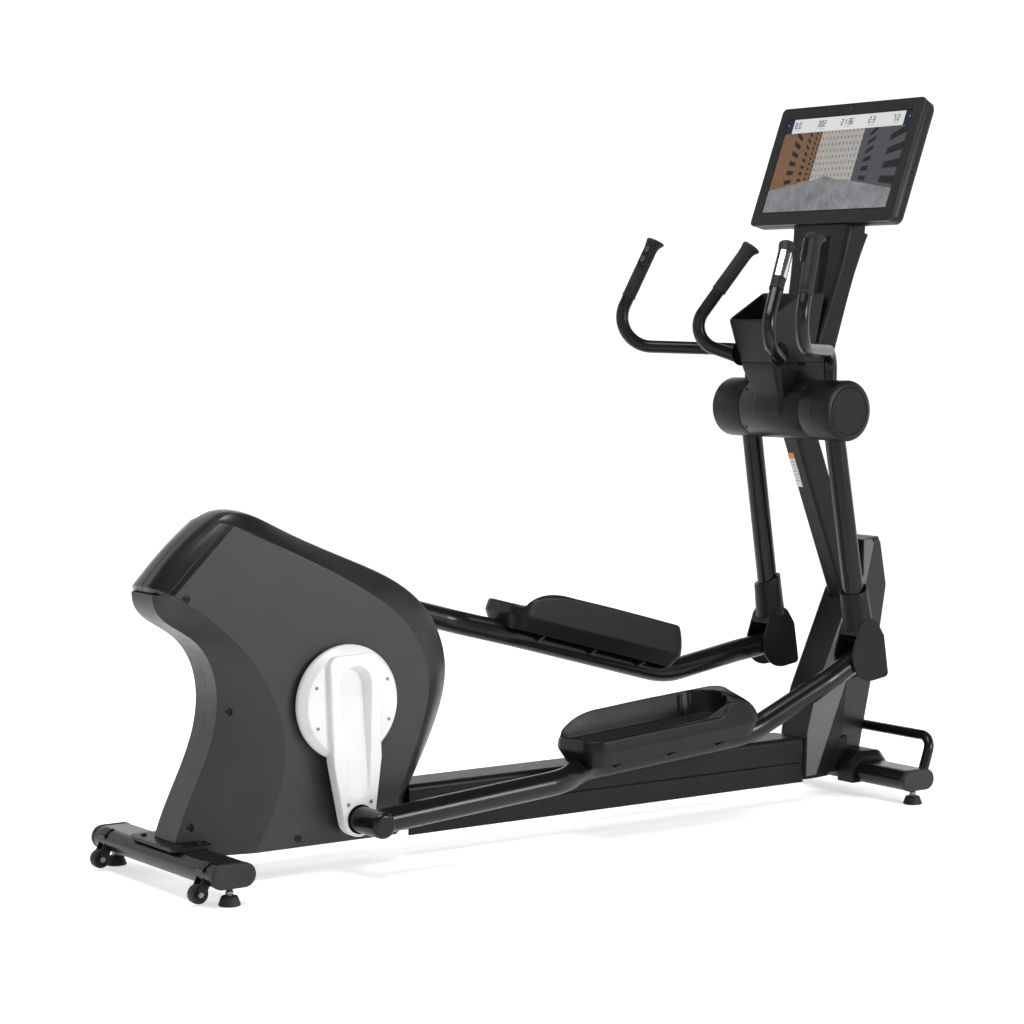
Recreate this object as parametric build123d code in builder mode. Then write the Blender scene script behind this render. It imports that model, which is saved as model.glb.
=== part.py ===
from build123d import *
from math import atan, atan2, cos, degrees, hypot, radians, sin
import os

# Elliptical trainer. Millimetres, +X towards the console, +Y the user's left, +Z up, floor at z = 0.
# Lengths along X are measured from the datum, half-way between the front and the rear feet; the
# origin is the middle of the whole footprint, so the datum stands a little behind it.
datum_x = -21.6

# ---- driving dimensions -------------------------------------------------------------------
crank_x, crank_z, crank_radius, crank_turn = -638.0, 398.0, 270.0, 2.0
pivot_x, pivot_z = 827.0, 1050.0
arm_length, arm_lean = 658.0, 9.04
joint_x = pivot_x + arm_length * sin(radians(arm_lean))
joint_z = pivot_z - arm_length * cos(radians(arm_lean))
joint_y = 178.0

rear_bar_x, rear_bar_z, rear_bar_half = -1043.0, 68.0, 294.0
front_bar_x, front_bar_z, front_bar_half = 1040.0, 67.0, 287.0
bar_depth, bar_height, bar_wall, cap_length = 110.0, 54.0, 3.0, 14.0
foot_x, rear_foot_y, front_foot_y = 1044.0, 271.0, 258.0
foot_radius, foot_height, stud_radius = 25.0, 18.0, 5.0

beam_half, beam_low, beam_high, beam_wall = 40.0, 60.0, 160.0, 5.0
beam_rear_x, beam_front_x = -1036.0, 1008.0
cover_half, cover_low, cover_high = 60.0, 52.0, 173.0
cover_rear_x, cover_front_x, cover_wall = -430.0, 843.0, 5.0

shroud_half, crown_half, shroud_wall, shroud_low = 98.0, 50.0, 5.0, 68.0
drum_radius, drum_half, housing_half = 79.0, 232.0, 119.0
axle_radius, running_gap, part_gap = 15.0, 0.05, 0.4
tube_radius, arm_tube_radius, handle_radius, tube_wall = 30.0, 27.0, 17.0, 3.0
belt_y, belt_width, pulley_radius, small_pulley_radius = 28.0, 14.0, 120.0, 24.0
flywheel_x, flywheel_z, flywheel_radius = -800.0, 606.0, 108.0

screen_width, screen_height, screen_tilt = 487.0, 274.0, 20.74
monitor_x, monitor_z = 984.7, 1706.7
monitor_half, monitor_up, monitor_down = 279.0, 171.7, 174.9

os.makedirs("parts", exist_ok=True)


# ---- helpers --------------------------------------------------------------------------------
def side(y=0.0, x=0.0, z=0.0, turn=0.0):
    """Upright plane across the machine at y: its x runs forward, its y up, it faces the user's right."""
    return Plane(
        origin=(datum_x + x, y, z),
        x_dir=(cos(radians(turn)), 0, sin(radians(turn))),
        z_dir=(0, -1, 0),
    )


def across(x, y, z):
    return (datum_x + x, y, z)


def keep(piece, name):
    piece.label = name
    export_step(piece, f"parts/{name}.step")


def hull_prism(y_from, y_to, circles, plane_args=None, mode=Mode.ADD):
    """Straight-sided plate between y_from and y_to around circles given as (x, z, radius)."""
    args = plane_args or {}
    with BuildSketch(side(max(y_from, y_to), **args)) as outline:
        for x, z, radius in circles:
            with Locations((x, z)):
                Circle(radius)
        make_hull()
    extrude(outline.sketch, amount=abs(y_to - y_from), mode=mode)


def disc(x, z, y_from, y_to, radius, mode=Mode.ADD):
    """Round bar along Y."""
    with BuildSketch(side(max(y_from, y_to))) as outline:
        with Locations((x, z)):
            Circle(radius)
    extrude(outline.sketch, amount=abs(y_to - y_from), mode=mode)


def block(x_from, x_to, half_width, z_from, z_to, mode=Mode.ADD):
    with BuildSketch(side(half_width)) as outline:
        with Locations(((x_from + x_to) / 2, (z_from + z_to) / 2)):
            Rectangle(x_to - x_from, z_to - z_from)
    extrude(outline.sketch, amount=2 * half_width, mode=mode)


def oval_bar(x, z, half_length, grow=0.0, mode=Mode.ADD):
    """Flat-oval bar across the machine, the shape of both stabilizers."""
    with BuildSketch(side(half_length)) as outline:
        with Locations((x, z)):
            SlotOverall(bar_depth + 2 * grow, bar_height + 2 * grow)
    extrude(outline.sketch, amount=2 * half_length, mode=mode)


def crank_pin(sign):
    """Centre of a crank pin: the right one (sign -1) is below the axle at rest, the left one above."""
    return (crank_x - sign * crank_radius * sin(radians(crank_turn)),
            crank_z + sign * crank_radius * cos(radians(crank_turn)))


def link_point(pin, s, n, y):
    """Point of a pedal arm: s along the chord from crank pin to arm joint, n square to it."""
    pin_x, pin_z = pin
    chord = atan2(joint_z - pin_z, joint_x - pin_x)
    x = pin_x + s * cos(chord) - n * sin(chord)
    z = pin_z + s * sin(chord) + n * cos(chord)
    return across(x, y, z)


def round_tube(points, radii, radius, mode=Mode.ADD):
    """Bent round tube along points, with a bend radius at each inner point."""
    with BuildLine() as path:
        FilletPolyline(*points, radius=radii)
    start = path.line @ 0
    with BuildSketch(Plane(origin=start, z_dir=path.line % 0)) as section:
        Circle(radius)
    sweep(section.sketch, path=path.line, mode=mode)


# ---- base frame -----------------------------------------------------------------------------
with BuildPart() as base_beam:
    block(beam_rear_x, beam_front_x, beam_half, beam_low, beam_high)
    fillet(base_beam.edges().filter_by(Axis.X), 10)
    block(beam_rear_x + 1, beam_front_x - 1, beam_half - beam_wall,
          beam_low + beam_wall, beam_high - beam_wall, mode=Mode.SUBTRACT)
    oval_bar(rear_bar_x, rear_bar_z, beam_half + 5, grow=part_gap, mode=Mode.SUBTRACT)
    oval_bar(front_bar_x, front_bar_z, beam_half + 5, grow=part_gap, mode=Mode.SUBTRACT)
keep(base_beam.part, "base_beam")

with BuildPart() as beam_cover:
    block(cover_rear_x, cover_front_x, cover_half, cover_low, cover_high)
    fillet(beam_cover.edges().filter_by(Axis.X).group_by(Axis.Z)[-1], 14)
    fillet(beam_cover.edges().filter_by(Axis.Y).group_by(Axis.X)[-1].sort_by(Axis.Z)[-1], 22)
    block(cover_rear_x - 1, cover_front_x - 2.4 * cover_wall, cover_half - cover_wall,
          cover_low - 1, cover_high - 1.6 * cover_wall, mode=Mode.SUBTRACT)
    for sign in (1, -1):
        with BuildSketch(Plane.YZ.offset(datum_x + cover_rear_x)) as groove:
            with Locations((sign * cover_half, 106)):
                Rectangle(3, 4, rotation=45)
        extrude(groove.sketch, amount=cover_front_x - cover_rear_x, mode=Mode.SUBTRACT)
    block(cover_front_x - 20, cover_front_x + 5, beam_half + part_gap, 0,
          beam_high + part_gap, mode=Mode.SUBTRACT)
keep(beam_cover.part, "beam_cover")


def stabilizer(x, z, half_length, foot_y):
    oval_bar(x, z, half_length - cap_length)
    oval_bar(x, z, half_length - cap_length + 1, grow=-bar_wall, mode=Mode.SUBTRACT)
    boss_low = z - bar_height / 2 - 7
    for sign in (1, -1):
        spot = across(foot_x if x > 0 else -foot_x, sign * foot_y, 0)
        with BuildSketch(Plane.XY.offset(boss_low)) as boss:
            with Locations((spot[0], spot[1])):
                Circle(8)
        extrude(boss.sketch, amount=7 + bar_wall)
        with BuildSketch(Plane.XY.offset(boss_low - 1)) as bore:
            with Locations((spot[0], spot[1])):
                Circle(stud_radius + running_gap)
        extrude(bore.sketch, amount=12 + bar_wall, mode=Mode.SUBTRACT)


with BuildPart() as rear_stabilizer:
    stabilizer(rear_bar_x, rear_bar_z, rear_bar_half, rear_foot_y)
keep(rear_stabilizer.part, "rear_stabilizer")

with BuildPart() as front_stabilizer:
    stabilizer(front_bar_x, front_bar_z, front_bar_half, front_foot_y)
keep(front_stabilizer.part, "front_stabilizer")

with BuildPart() as bar_end_caps:
    for x, z, half in ((rear_bar_x, rear_bar_z, rear_bar_half), (front_bar_x, front_bar_z, front_bar_half)):
        for y_in, y_out in ((half - cap_length, half), (cap_length - half, -half)):
            with BuildSketch(side(max(y_in, y_out))) as cap:
                with Locations((x, z)):
                    SlotOverall(bar_depth + 2, bar_height + 2)
            extrude(cap.sketch, amount=cap_length)
    outer = bar_end_caps.faces().filter_by(Axis.Y).group_by(Axis.Y)
    fillet(outer[0].edges() + outer[1].edges(), 5)
    fillet(outer[-1].edges() + outer[-2].edges(), 5)
keep(bar_end_caps.part, "bar_end_caps")

with BuildPart() as lift_handle:
    top_x, top_z, leg_y, leg_x = front_bar_x + 73.5, 174.0, 257.0, front_bar_x + 41
    points = [across(leg_x, leg_y, 82), across(top_x, leg_y, top_z),
              across(top_x, -leg_y, top_z), across(leg_x, -leg_y, 82)]
    round_tube(points, 38, 13.5)
    round_tube(points, 38, 13.5 - tube_wall, Mode.SUBTRACT)
    oval_bar(front_bar_x, front_bar_z, front_bar_half, grow=0.1, mode=Mode.SUBTRACT)
keep(lift_handle.part, "lift_handle")


def levelling_foot(x, y):
    profile = [(0, 0), (foot_radius, 0), (foot_radius, 5), (foot_radius - 8, foot_height - 4),
               (8, foot_height), (stud_radius, foot_height), (stud_radius, 48), (0, 48)]
    with BuildSketch(Plane(origin=across(x, y, 0), x_dir=(1, 0, 0), z_dir=(0, -1, 0))) as half_section:
        with BuildLine():
            Polyline(*profile, close=True)
        make_face()
    revolve(half_section.sketch, axis=Axis(across(x, y, 0), (0, 0, 1)))


for end, x, y in (("rear", -foot_x, rear_foot_y), ("front", foot_x, front_foot_y)):
    for hand, sign in (("left", 1), ("right", -1)):
        with BuildPart() as foot:
            levelling_foot(x, sign * y)
        keep(foot.part, f"foot_{end}_{hand}")

# ---- casters behind the rear bar --------------------------------------------------------------
wheel_x, wheel_z, wheel_radius, wheel_half, caster_y = -1104.0, 27.0, 22.0, 11.0, 236.0
pin_radius = 4.0
with BuildPart() as caster_brackets:
    for sign in (1, -1):
        for inner in (wheel_half + 1.5, -wheel_half - 4.5):
            low = sign * caster_y + inner
            hull_prism(low, low + 3, [(wheel_x, wheel_z, 11), (rear_bar_x - 34, rear_bar_z + 20, 9),
                                      (rear_bar_x - 40, rear_bar_z - 6, 9)])
        hull_prism(sign * caster_y - 15.5, sign * caster_y + 15.5,
                   [(rear_bar_x - 52, rear_bar_z + 12, 5), (rear_bar_x - 36, rear_bar_z + 24, 5)])
        disc(wheel_x, wheel_z, sign * caster_y - 17, sign * caster_y + 17, pin_radius)
    oval_bar(rear_bar_x, rear_bar_z, rear_bar_half, grow=0.1, mode=Mode.SUBTRACT)
keep(caster_brackets.part, "caster_brackets")

for hand, sign in (("left", 1), ("right", -1)):
    with BuildPart() as wheel:
        disc(wheel_x, wheel_z, sign * caster_y - wheel_half, sign * caster_y + wheel_half, wheel_radius)
        fillet(wheel.edges().filter_by(GeomType.CIRCLE), 4)
        disc(wheel_x, wheel_z, sign * caster_y - 20, sign * caster_y + 20, pin_radius + running_gap,
             mode=Mode.SUBTRACT)
    keep(wheel.part, f"caster_wheel_{hand}")

# ---- front post and mast ------------------------------------------------------------------------
post_half, post_wall = 50.0, 5.0
post_outline = [(824, 56), (878, 275), (1006, 548), (1044, 578), (1050, 692), (1110, 698),
                (1126, 678), (1170, 560), (1150, 418), (1072, 56)]
bow_crease = [(883, 53), (997, 317), (1093, 688)]
bow_nose = [(1100, 190, 22), (1165, 540, 15)]


def bow_planes(sign, inset):
    """Two planes that bevel one side of the post towards its narrow nose, meeting on the crease."""
    planes = []
    for low, high, nose in zip(bow_crease, bow_crease[1:], bow_nose):
        foot = Vector(*across(low[0], sign * (post_half - inset), low[1]))
        head = Vector(*across(high[0], sign * (post_half - inset), high[1]))
        tip = Vector(*across(nose[0], sign * (nose[2] - inset), nose[1]))
        normal = (head - foot).cross(tip - foot).normalized()
        if normal.Y * sign < 0:
            normal = normal * -1
        planes.append(Plane(origin=foot, x_dir=head - foot, z_dir=normal))
    return planes


def bow_solid(inset):
    with BuildSketch(side(post_half - inset)) as outline:
        with BuildLine():
            Polyline(*post_outline, close=True)
        make_face()
        fillet(outline.vertices().group_by(Axis.X)[-1], 30)
        if inset:
            offset(amount=-inset, kind=Kind.INTERSECTION)
    extrude(outline.sketch, amount=2 * (post_half - inset))
    for plane in bow_planes(1, inset) + bow_planes(-1, inset):
        split(bisect_by=plane, keep=Keep.BOTTOM)


mast_foot, mast_top, mast_half, mast_depth = (1045.0, 519.0), (842.0, 1035.0), 31.0, 73.0
mast_turn = degrees(atan2(mast_top[1] - mast_foot[1], mast_top[0] - mast_foot[0]))
mast_length = hypot(mast_top[0] - mast_foot[0], mast_top[1] - mast_foot[1])


def mast_box(grow, mode):
    with BuildSketch(side(mast_half + grow, *mast_foot, turn=mast_turn)) as outline:
        Rectangle(mast_length, mast_depth + 2 * grow, align=(Align.MIN, Align.CENTER))
    extrude(outline.sketch, amount=2 * (mast_half + grow), mode=mode)


with BuildPart() as mast_tube:
    mast_box(0, Mode.ADD)
    fillet(mast_tube.edges().filter_by(lambda edge: edge.length > mast_length - 1), 9)

with BuildPart() as mast:
    post_foot_x, post_head_x, post_depth, post_top = 925.0, 1014.0, 92.0, 540.0
    with BuildSketch(side(beam_half)) as outline:
        with BuildLine():
            Polyline((post_foot_x, beam_high + 0.1), (post_foot_x + post_depth, beam_high + 0.1),
                     (post_head_x + post_depth, post_top), (post_head_x, post_top), close=True)
        make_face()
    extrude(outline.sketch, amount=2 * beam_half)
    with BuildSketch(side(beam_half - 5)) as hollow:
        with BuildLine():
            Polyline((post_foot_x + 8, beam_high - 1), (post_foot_x + post_depth - 6, beam_high - 1),
                     (post_head_x + post_depth - 8, post_top - 6), (post_head_x + 6, post_top - 6), close=True)
        make_face()
    extrude(hollow.sketch, amount=2 * (beam_half - 5), mode=Mode.SUBTRACT)
    for plane in bow_planes(1, post_wall + 0.5) + bow_planes(-1, post_wall + 0.5):
        split(bisect_by=plane, keep=Keep.BOTTOM)
    add(mast_tube.part)
    mast_box(-4, Mode.SUBTRACT)
    disc(pivot_x, pivot_z, -60, 60, drum_radius + 0.1, mode=Mode.SUBTRACT)
keep(mast.part, "mast")

with BuildPart() as post_cavity:
    bow_solid(post_wall)

with BuildPart() as nose_cover:
    bow_solid(0)
    add(post_cavity.part, mode=Mode.SUBTRACT)
    mast_box(part_gap, Mode.SUBTRACT)
    block(800, beam_front_x + part_gap, beam_half + part_gap, 40, beam_high + part_gap, mode=Mode.SUBTRACT)
    block(800, cover_front_x + part_gap, cover_half + 5, 40, cover_high + part_gap, mode=Mode.SUBTRACT)
    oval_bar(front_bar_x, front_bar_z, 80, grow=part_gap, mode=Mode.SUBTRACT)

with BuildPart() as rear_flange:
    block(rear_bar_x - 52, rear_bar_x + 52, 112, rear_bar_z + bar_height / 2 + 0.2, 103.4)
    fillet(rear_flange.edges().filter_by(Axis.Z), 20)
    block(beam_rear_x - part_gap, -900, beam_half + part_gap, 50, beam_high, mode=Mode.SUBTRACT)

with BuildPart() as bow_envelope:
    bow_solid(-part_gap)

with BuildPart() as base_covers:
    saddle_half = 100.0
    with BuildSketch(side(saddle_half)) as outline:
        with BuildLine():
            Polyline((974, 40), (974, 92), (1002, 122), (1082, 120), (1106, 92), (1106, 40), close=True)
        make_face()
        fillet(outline.vertices().group_by(Axis.Y)[-1] + outline.vertices().group_by(Axis.Y)[-2], 20)
    extrude(outline.sketch, amount=2 * saddle_half)
    chamfer(base_covers.faces().filter_by(Axis.Y).edges().group_by(Axis.Z)[-1], 14)
    oval_bar(front_bar_x, front_bar_z, saddle_half + 5, grow=part_gap, mode=Mode.SUBTRACT)
    block(960, 1120, saddle_half + 5, 30, front_bar_z - bar_height / 2 - part_gap, mode=Mode.SUBTRACT)
    add(bow_envelope.part, mode=Mode.SUBTRACT)
    block(960, beam_front_x + part_gap, beam_half + part_gap, 40, beam_high + part_gap, mode=Mode.SUBTRACT)
    add(nose_cover.part)
    add(rear_flange.part)
keep(base_covers.part, "base_covers")

with BuildPart() as post_side_plates:
    plate_outline = [(849, 64), (884, 66), (994, 318), (1088, 680), (1080, 692), (1052, 692), (1052, 596),
                     (1008, 556), (884, 292), (853, 180)]
    for y in (post_half + 3.0, -post_half):
        with BuildSketch(side(y)) as outline:
            with BuildLine():
                Polyline(*plate_outline, close=True)
            make_face()
            fillet(outline.vertices(), 4)
        extrude(outline.sketch, amount=3)
    block(800, cover_front_x + part_gap, cover_half + 5, 40, cover_high + part_gap, mode=Mode.SUBTRACT)
keep(post_side_plates.part, "post_side_plates")

# ---- shroud over the drive ----------------------------------------------------------------------
# Side outline, where the flat side face ends, and crown outline, 50 mm from the middle plane.
side_front = [(-926, 823), (-762, 750), (-554, 643), (-440, 547), (-398, 440), (-434, 278), (-485, 160)]
crown_front = [(-948, 857), (-780, 808), (-560, 715), (-370, 597), (-314, 453), (-350, 310), (-440, 142)]
side_rear = [(-877, shroud_low), (-822, 173), (-797, 265), (-826, 422), (-932, 565), (-1080, 673)]
crown_rear = [(-1068, shroud_low), (-1010, 220), (-957, 350), (-957, 485), (-1007, 562), (-1099, 630),
              (-1108, 690)]


def inset_corner(before, corner, after, amount):
    """Corner of a clockwise outline moved inwards, square to both of its sides."""
    normals = []
    for start, end in ((before, corner), (corner, after)):
        run, rise = end[0] - start[0], end[1] - start[1]
        normals.append((rise / hypot(run, rise), -run / hypot(run, rise)))
    (ax, az), (bx, bz) = normals
    reach = amount / (1 + ax * bx + az * bz)
    return corner[0] + (ax + bx) * reach, corner[1] + (az + bz) * reach


def shroud_section(front, rear, wall=0.0):
    corners = front + [(front[-1][0] - 8, shroud_low)] + rear
    ring = [inset_corner(corners[i - 1], corner, corners[(i + 1) % len(corners)], wall)
            for i, corner in enumerate(corners)]
    front_count = len(front)
    with BuildLine() as loop:
        Spline(*ring[:front_count])
        Polyline(*ring[front_count - 1:front_count + 2])
        Spline(*ring[front_count + 1:])
        Line(ring[-1], ring[0])
    make_face(loop.edges())


def shroud_solid():
    with BuildSketch(side(shroud_half)) as left_face:
        shroud_section(side_front, side_rear)
    with BuildSketch(side(crown_half)) as left_crown:
        shroud_section(crown_front, crown_rear)
    loft(sections=[left_face.sketch, left_crown.sketch], ruled=True)
    with BuildSketch(side(-shroud_half)) as right_face:
        shroud_section(side_front, side_rear)
    with BuildSketch(side(-crown_half)) as right_crown:
        shroud_section(crown_front, crown_rear)
    loft(sections=[right_face.sketch, right_crown.sketch], ruled=True)
    extrude(left_crown.sketch, amount=2 * crown_half)


def shroud_hollow():
    """Space inside the shroud, with the tunnel for the beam and the seat on the rear bar."""
    with BuildSketch(side(shroud_half - shroud_wall)) as wide:
        shroud_section(side_front, side_rear, shroud_wall)
    extrude(wide.sketch, amount=2 * (shroud_half - shroud_wall))
    with BuildSketch(side(crown_half - shroud_wall)) as narrow:
        shroud_section(crown_front, crown_rear, shroud_wall)
    extrude(narrow.sketch, amount=2 * (crown_half - shroud_wall))
    block(-850, -500, shroud_half - shroud_wall, 50, 100)
    block(beam_rear_x - part_gap, -300, beam_half + part_gap, 50, beam_high + part_gap)
    block(cover_rear_x - 1, -300, cover_half + part_gap, 50, cover_high + part_gap)
    block(-1120, rear_bar_x + bar_depth / 2 + part_gap, 150, 0, 104)
    disc(crank_x, crank_z, -150, 150, 42)


with BuildPart() as shroud_body:
    shroud_solid()

with BuildPart() as shroud_space:
    shroud_hollow()

# Screw holes in the panels: x, z, and the half-width of the bottom of the hole.
screw_holes = [(-1052, 664, 94.5), (-924, 394, 56.0), (-1024, 136, 50.0), (-765, 89, 94.5)]
screw_hole_radius = 10.0

with BuildPart() as panel_region:
    with BuildSketch(side(160)) as outline:
        with BuildLine():
            Spline(*side_front)
            Polyline(side_front[-1], (side_front[-1][0], 20), (-1160, 20), (-1160, 673), side_rear[-1],
                     side_front[0])
        make_face()
    extrude(outline.sketch, amount=320)

for hand, sign in (("left", 1), ("right", -1)):
    with BuildPart() as shroud_panel:
        add(shroud_body.part)
        add(panel_region.part, mode=Mode.INTERSECT)
        add(shroud_space.part, mode=Mode.SUBTRACT)
        for x, z, depth in screw_holes:
            disc(x, z, sign * depth, sign * 120, screw_hole_radius, mode=Mode.SUBTRACT)
        split(bisect_by=Plane.XZ.offset(-sign * 0.15), keep=Keep.BOTTOM if sign > 0 else Keep.TOP)
    keep(shroud_panel.part, f"shroud_{hand}")

with BuildPart() as shroud_crown:
    add(shroud_body.part)
    add(shroud_space.part, mode=Mode.SUBTRACT)
    add(panel_region.part, mode=Mode.SUBTRACT)
keep(shroud_crown.part, "shroud_crown")

# ---- drive inside the shroud ----------------------------------------------------------------------
frame_y, plate_thick, bearing_radius = 56.0, 6.0, 26.0
with BuildPart() as drive_frame:
    for y_low in (frame_y, -frame_y - plate_thick):
        hull_prism(y_low, y_low + plate_thick,
                   [(crank_x, crank_z, 44), (crank_x - 70, 176, 12), (crank_x + 60, 176, 12)])
        hull_prism(y_low, y_low + plate_thick, [(crank_x, crank_z, 40), (flywheel_x, flywheel_z, 34)])
    block(crank_x - 82, crank_x + 72, frame_y + plate_thick, beam_high + 0.2, beam_high + 8)
    for x, z, radius in ((crank_x, crank_z, bearing_radius), (flywheel_x, flywheel_z, 16)):
        disc(x, z, -80, 80, radius + 0.02, mode=Mode.SUBTRACT)
keep(drive_frame.part, "drive_frame")

with BuildPart() as bearings:
    for sign in (1, -1):
        for x, z, outer_radius, inner_radius, y, width in (
            (crank_x, crank_z, bearing_radius, axle_radius, frame_y - 3, 12),
            (flywheel_x, flywheel_z, 16, 8, frame_y - 3, 12),
            (pivot_x, pivot_z, 27, axle_radius, 128, 14),
        ):
            near, far = sign * y, sign * (y + width)
            disc(x, z, near, far, outer_radius)
            disc(x, z, near, far, inner_radius + running_gap, mode=Mode.SUBTRACT)
keep(bearings.part, "bearings")

with BuildPart() as drive_belt:
    belt_circles = ((crank_x, crank_z, pulley_radius), (flywheel_x, flywheel_z, small_pulley_radius))
    hull_prism(belt_y + belt_width / 2, belt_y - belt_width / 2,
               [(x, z, radius + 3.3) for x, z, radius in belt_circles])
    hull_prism(belt_y + belt_width / 2 + 1, belt_y - belt_width / 2 - 1,
               [(x, z, radius + 0.4) for x, z, radius in belt_circles], mode=Mode.SUBTRACT)
keep(drive_belt.part, "drive_belt")

with BuildPart() as brake_magnet:
    hull_prism(-46, -40, [(flywheel_x + 96, flywheel_z + 18, 22), (flywheel_x + 100, flywheel_z - 46, 18)])
    hull_prism(-4, 2, [(flywheel_x + 96, flywheel_z + 18, 22), (flywheel_x + 100, flywheel_z - 46, 18)])
    disc(flywheel_x + 130, flywheel_z - 4, -55.5, 2, 9)
    hull_prism(-46, 2, [(flywheel_x + 126, flywheel_z + 4, 9), (flywheel_x + 128, flywheel_z - 30, 9)])
keep(brake_magnet.part, "brake_magnet")

with BuildPart() as flywheel:
    disc(flywheel_x, flywheel_z, -38, -6, flywheel_radius)
    chamfer(flywheel.edges().filter_by(GeomType.CIRCLE), 2)
    for y_face, depth in ((-38, 9), (-15, 9)):
        disc(flywheel_x, flywheel_z, y_face, y_face + depth, flywheel_radius - 24, mode=Mode.SUBTRACT)
        disc(flywheel_x, flywheel_z, y_face, y_face + depth, 26)
    disc(flywheel_x, flywheel_z, -6, belt_y + belt_width / 2 - 1, small_pulley_radius)
    disc(flywheel_x, flywheel_z, -64, 64, 8)
keep(flywheel.part, "flywheel")

# ---- crank ------------------------------------------------------------------------------------------
disc_back, disc_rim, disc_front = 105.0, 120.0, 140.0
disc_radius, disc_face_radius = 136.0, 121.0
arm_back, arm_front = 119.0, 155.0
crank_arm_circles = [(-42, 91, 25), (42, 91, 25), (50, -130, 16), (-50, -130, 16), (0, -crank_radius, 42)]
axle_half = 128.0

with BuildPart() as crank_axle:
    disc(crank_x, crank_z, -axle_half, axle_half, axle_radius)
    chamfer(crank_axle.edges().filter_by(GeomType.CIRCLE), 1)
keep(crank_axle.part, "crank_axle")

with BuildPart() as drive_pulley:
    disc(crank_x, crank_z, belt_y - belt_width / 2, belt_y + belt_width / 2, pulley_radius)
    for y_low in (belt_y - belt_width / 2, belt_y + 3):
        disc(crank_x, crank_z, y_low, y_low + 4, pulley_radius - 10, mode=Mode.SUBTRACT)
        disc(crank_x, crank_z, y_low, y_low + 4, 30)
    with BuildSketch(side(belt_y + belt_width)) as windows:
        with Locations((crank_x, crank_z)):
            with PolarLocations(72, 6):
                Circle(20)
    extrude(windows.sketch, amount=2 * belt_width, mode=Mode.SUBTRACT)
    disc(crank_x, crank_z, belt_y - 10, belt_y + 10, axle_radius + 0.02, mode=Mode.SUBTRACT)
keep(drive_pulley.part, "drive_pulley")


def crank_arm_plate(sign, grow=0.0, mode=Mode.ADD):
    """Crank arm: the right one points down and the left one up at rest."""
    turn = crank_turn if sign < 0 else 180 + crank_turn
    circles = [(x, z, radius + grow) for x, z, radius in crank_arm_circles]
    hull_prism(sign * (arm_back - grow), sign * (arm_front + grow), circles,
               {"x": crank_x, "z": crank_z, "turn": turn}, mode)


with BuildPart() as crank_discs:
    for sign in (1, -1):
        profile = [(0, disc_back), (disc_radius, disc_back), (disc_radius, disc_rim),
                   (disc_face_radius, disc_front), (0, disc_front)]
        with BuildSketch(Plane.XY.offset(crank_z)) as half_section:
            with BuildLine():
                Polyline(*[across(crank_x + radius, sign * y, 0)[:2] for radius, y in profile], close=True)
            make_face()
        revolve(half_section.sketch, axis=Axis(across(crank_x, 0, crank_z), (0, 1, 0)))
        disc(crank_x, crank_z, sign * (disc_back - 1), sign * (disc_back + 9), disc_radius - 8,
             mode=Mode.SUBTRACT)
        disc(crank_x, crank_z, sign * disc_back, sign * (disc_back + 9), 34)
        crank_arm_plate(sign, 0.3, Mode.SUBTRACT)
        disc(crank_x, crank_z, sign * 90, sign * 160, axle_radius + 0.02, mode=Mode.SUBTRACT)
keep(crank_discs.part, "crank_discs")

with BuildPart() as crank_arms:
    for sign in (1, -1):
        crank_arm_plate(sign)
    chamfer(crank_arms.faces().filter_by(Axis.Y).group_by(Axis.Y)[0].edges(), 3)
    chamfer(crank_arms.faces().filter_by(Axis.Y).group_by(Axis.Y)[-1].edges(), 3)
    for sign in (1, -1):
        turn = crank_turn if sign < 0 else 180 + crank_turn
        hull_prism(sign * (arm_front - 9), sign * (arm_front + 1), [(0, -62, 26), (0, -196, 21)],
                   {"x": crank_x, "z": crank_z, "turn": turn}, Mode.SUBTRACT)
        disc(crank_x, crank_z, sign * 100, sign * (axle_half + 0.1), axle_radius + 0.02, mode=Mode.SUBTRACT)
keep(crank_arms.part, "crank_arms")

# ---- pivot housing and its axle --------------------------------------------------------------------
with BuildPart() as pivot_housing:
    disc(pivot_x, pivot_z, -housing_half, housing_half, drum_radius)
    disc(pivot_x, pivot_z, -housing_half + 5, housing_half - 5, drum_radius - 5, mode=Mode.SUBTRACT)
    disc(pivot_x, pivot_z, -housing_half + 4, housing_half - 4, 26)
    disc(pivot_x, pivot_z, -housing_half - 1, housing_half + 1, axle_radius + 0.02, mode=Mode.SUBTRACT)
keep(pivot_housing.part, "pivot_housing")

with BuildPart() as pivot_axle:
    disc(pivot_x, pivot_z, -drum_half + 12, drum_half - 12, axle_radius)
    chamfer(pivot_axle.edges().filter_by(GeomType.CIRCLE), 1)
keep(pivot_axle.part, "pivot_axle")

# ---- moving arms ----------------------------------------------------------------------------------------
drum_in, cap_radius, hub_radius = housing_half + 0.6, 60.0, 36.0
lower_top, lower_end, socket_top = hub_radius + 1, 560.0, 489.0
handle_points = [(827, 158, pivot_z + hub_radius + 1), (827, 160, 1205), (506, 386, 1217), (621, 322, 1498)]
handle_bends = [52, 80]
grip_length = 158.0


def arm_axis_plane(sign, distance, y):
    """Plane square to the moving arm at a distance below the pivot."""
    lean = radians(arm_lean)
    centre = (pivot_x + distance * sin(lean), sign * y, pivot_z - distance * cos(lean))
    return Plane(origin=across(*centre), x_dir=(0, 1, 0), z_dir=(sin(lean), 0, -cos(lean)))


def handle_tube(sign, radius, mode=Mode.ADD):
    points = [across(x, sign * y, z) for x, y, z in handle_points]
    round_tube(points, handle_bends, radius, mode)


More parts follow.
